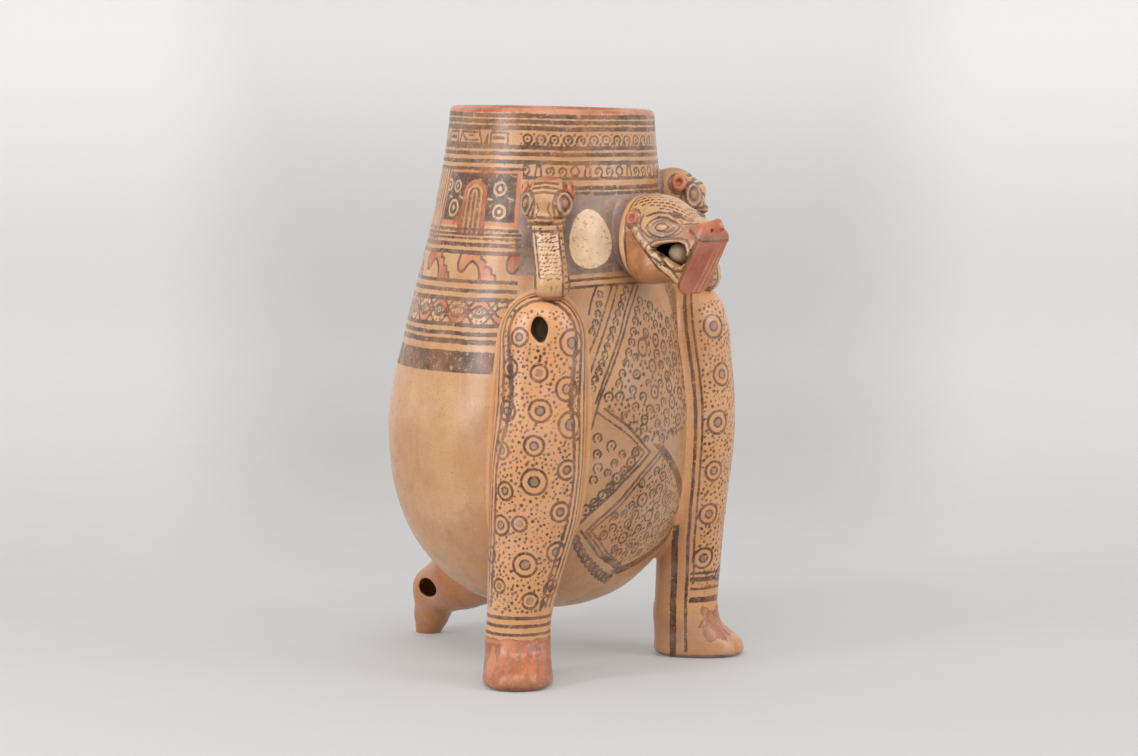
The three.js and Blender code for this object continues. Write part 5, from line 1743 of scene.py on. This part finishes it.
def limbs(sign, name):
    """One side's leg, arm and crested head."""

    def limb(what, shape, draw, low, high, step, nodes, material):
        shape, draw = partial(shape, sign=sign), partial(draw, sign=sign)
        field_piece(what + "_skin_" + name, shape, low, high, step, nodes, "painted_clay", material, draw)

    spots = [polar_point(sign, leg_angle(h), leg_reach(h), h) for h in np.linspace(0, LEG_TOP, 30)]
    spots.append(outward(sign, FOOT_ANGLE) * FOOT_SPREAD + outward(sign, TOE_ANGLE) * 20)
    low, high = np.min(spots, 0) - LEG_MARGIN, np.max(spots, 0) + LEG_MARGIN
    limb("leg", front_leg, paint_leg, low, high, LEG_STEP, ["leg_" + name, "foot_" + name], limb_clay)
    centre = polar_point(sign, ARM_ANGLE, *ARM_MIDDLE)
    nodes = ["arm_" + name, "paw_" + name, "arm_collar_" + name]
    limb("arm", arm_figure, paint_arm, centre - ARM_BELOW, centre + ARM_ABOVE, SMALL_STEP, nodes, arm_clay)
    centre = crest_centre(sign)
    nodes = ["crest_head_" + name, "crest_beak_" + name]
    nodes += ["crest_%s_%s_%s" % (what, name, side) for what in ("eye", "ear") for side in ("inner", "outer")]
    low, high = centre - CREST_BELOW, centre + CREST_ABOVE
    limb("crest_head", crest_head, paint_crest_head, low, high, SMALL_STEP, nodes, head_clay)


limbs(-1, "right")
limbs(1, "left")

slot = "painted_clay"
field_piece("rear_leg_skin", rear_leg, *REAR_BOX, REAR_STEP, ["rear_leg"], slot, bare_clay)
nodes = ["feline_head", "feline_ruff"]
nodes += ["feline_%s_%s" % (what, side) for what in ("eye", "ear") for side in ("right", "left")]
field_piece("feline_head_skin", feline_head, *HEAD_BOX, HEAD_STEP, nodes, slot, head_clay, paint_head)
nodes, slot = ["muzzle_plate", "nose_pad"], "red_slip"
field_piece("muzzle_plate_skin", muzzle_plate, *PLATE_BOX, SMALL_STEP, nodes, slot, plate_clay, paint_plate)

PEBBLE_LUMPS = ((0.35, 6, 0), (0.15, 2.5, 1))
BALL_MARGIN = 1.2
BALLS = (
    ("rattle_ball_head", "head_ball"),
    ("rattle_ball_leg_right", "right_leg_ball"),
    ("rattle_ball_leg_left", "left_leg_ball"),
    ("rattle_ball_rear_leg", "rear_leg_ball"),
)


def pebble(points, centre, radius, seed):
    """A hand-rolled clay ball, a little uneven."""
    away = np.linalg.norm((points - centre) * (1.03, 1.0, 1.02), axis=1)
    return away - radius + patchy(points, [(rise, size, seed + more) for rise, size, more in PEBBLE_LUMPS])


for seed, (node, body) in enumerate(BALLS):
    low, high = (np.array(corner) / MM - (0, AXIS_Y / MM, 0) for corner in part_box(node))
    centre, radius = (low + high) / 2, (high - low).min() / 2 - 0.1
    make_ball = partial(pebble, centre=centre, radius=radius, seed=seed)
    low, high = low - BALL_MARGIN, high + BALL_MARGIN
    field_piece(node + "_skin", make_ball, low, high, SMALL_STEP, [node], "plain_clay", ball_clay, body=body)


# Stage: a wide dish that rises far behind on every side, and soft lights

VIEW_TURN, VIEW_DISTANCE, VIEW_HEIGHT, VIEW_DIP, VIEW_ASIDE = 42.45, 1.9, 0.3498, 5.60, 0.0098
VIEW_LENS, VIEW_SENSOR = 104.2, 36
turn = math.radians(VIEW_TURN)
toward = np.array([-math.sin(turn), -math.cos(turn), 0])
right = np.array([math.cos(turn), -math.sin(turn), 0])


def paper(name):
    """Pale paper that glows a little all over as painted light, with painted shadow that darkens it near the
    jar, and painted light that lightens it far out, up its rising wall and to the sides behind the jar.
    """
    n = Nodes(name)
    place = n.tree.nodes.new("ShaderNodeSeparateXYZ")
    n.put(place.inputs[0], n.place)
    x, y, z = place.outputs
    # Painted shadow: the floor is darker near the jar.
    near = n.mix(n.scaled(n.noise(900, 1, 3), 0.3, 0.7), tone(174, 172, 171), tone(170, 168, 167))
    away = n.add(n.math("POWER", x, 2), n.math("POWER", y, 2))
    colour = n.mix(n.scaled(away, 0.2, 4.0), near, tone(186, 184, 183))
    # Painted light: the paper is lighter up the rising wall.
    colour = n.mix(n.scaled(z, 0.0, 0.4), colour, tone(216, 215, 213))
    # Painted light: the paper glows more to the sides behind the jar and up the wall.
    aside, ahead = (n.add(n.times(x, float(a)), n.times(y, float(b))) for a, b, _ in (right, -toward))
    share = n.math("POWER", n.math("DIVIDE", aside, n.add(ahead, VIEW_DISTANCE)), 2)
    sides = n.times(n.scaled(share, 0.004, 0.017), n.scaled(ahead, -0.1, 1.2, 0, 0.15))
    painted_glow = n.math("MAXIMUM", sides, n.scaled(z, 0.0, 0.4, 0, 0.05))
    return n.surface(
        Emission_Color=tone(255, 253, 250),
        Emission_Strength=n.add(painted_glow, 0.15),
        Base_Color=colour,
        Roughness=n.scaled(n.noise(30, 2, 4), 0.3, 0.7, 0.75, 0.85),
        Normal=n.bump(n.noise(1.5, 3, 5), 0.03),
        Specular_IOR_Level=0.2,
    )


FLOOR_RADII, SWEEP_START, SWEEP_RISE, SWEEP_STEPS, DISH_TOP = (0.3, 0.8, 1.5, 2.6), 2.6, 1.6, 20, 3.2
DISH_CORNERS = 96


def linked(name, data):
    thing = bpy.data.objects.new(name, data)
    bpy.context.scene.collection.objects.link(thing)
    return thing


def dish():
    """A level floor that curves up into a wall all round."""
    rings = [(radius, 0.0) for radius in FLOOR_RADII]
    for t in np.linspace(0, math.pi / 2, SWEEP_STEPS)[1:]:
        rings.append((SWEEP_START + SWEEP_RISE * math.sin(t), SWEEP_RISE * (1 - math.cos(t))))
    rings.append((SWEEP_START + SWEEP_RISE, DISH_TOP))
    turns = np.arange(DISH_CORNERS) * 2 * math.pi / DISH_CORNERS
    points = [(r * math.cos(t), r * math.sin(t), z) for r, z in rings for t in turns] + [(0.0, 0.0, 0.0)]
    faces = ring_faces(len(rings), DISH_CORNERS)[:, ::-1].tolist()
    faces += [(len(points) - 1, k, (k + 1) % DISH_CORNERS) for k in range(DISH_CORNERS)]
    mesh = bpy.data.meshes.new("floor")
    mesh.from_pydata(points, [], faces)
    mesh.shade_smooth()
    mesh.materials.append(paper("studio_paper_with_painted_light"))
    return linked("floor", mesh)


dish()

camera_data = bpy.data.cameras.new("view")
camera_data.lens, camera_data.sensor_width = VIEW_LENS, VIEW_SENSOR
camera = linked("view", camera_data)
camera.location = VIEW_DISTANCE * toward + VIEW_ASIDE * right + (0, AXIS_Y, VIEW_HEIGHT)
camera.rotation_euler = (math.radians(90 - VIEW_DIP), 0, -turn)
bpy.context.scene.camera = camera
bpy.context.scene.view_settings.view_transform = "Standard"

COOL_WHITE, SKY_STRENGTH = (0.97, 0.98, 1.0), 0.86
world = bpy.data.worlds.new("studio")
world.use_nodes = True
sky = world.node_tree.nodes["Background"].inputs
sky[0].default_value = COOL_WHITE + (1,)
sky[1].default_value = SKY_STRENGTH
bpy.context.scene.world = world

# Lights: turn from the front towards the right leg, rise, distance, width, length, power
LIGHTS = ((95, 22, 1.3, 0.26, 0.9, 6.8), (46, 50, 1.4, 0.7, 0.7, 5.6), (-20, 28, 1.6, 0.8, 0.8, 7.2))
AIM_HEIGHT = 0.16


def softbox(name, around, rise, distance, width, length, power):
    data = bpy.data.lights.new(name, "AREA")
    data.shape = "RECTANGLE"
    data.size, data.size_y = width, length
    data.energy, data.color = power, COOL_WHITE
    light = linked(name, data)
    around, rise = math.radians(around), math.radians(rise)
    level = math.cos(rise)
    away = mathutils.Vector((-math.sin(around) * level, -math.cos(around) * level, math.sin(rise)))
    light.location = away * distance + mathutils.Vector((0, AXIS_Y, AIM_HEIGHT))
    light.rotation_euler = away.to_track_quat("Z", "Y").to_euler()
    return light


for number, values in enumerate(LIGHTS):
    softbox("softbox_%d" % number, *values)
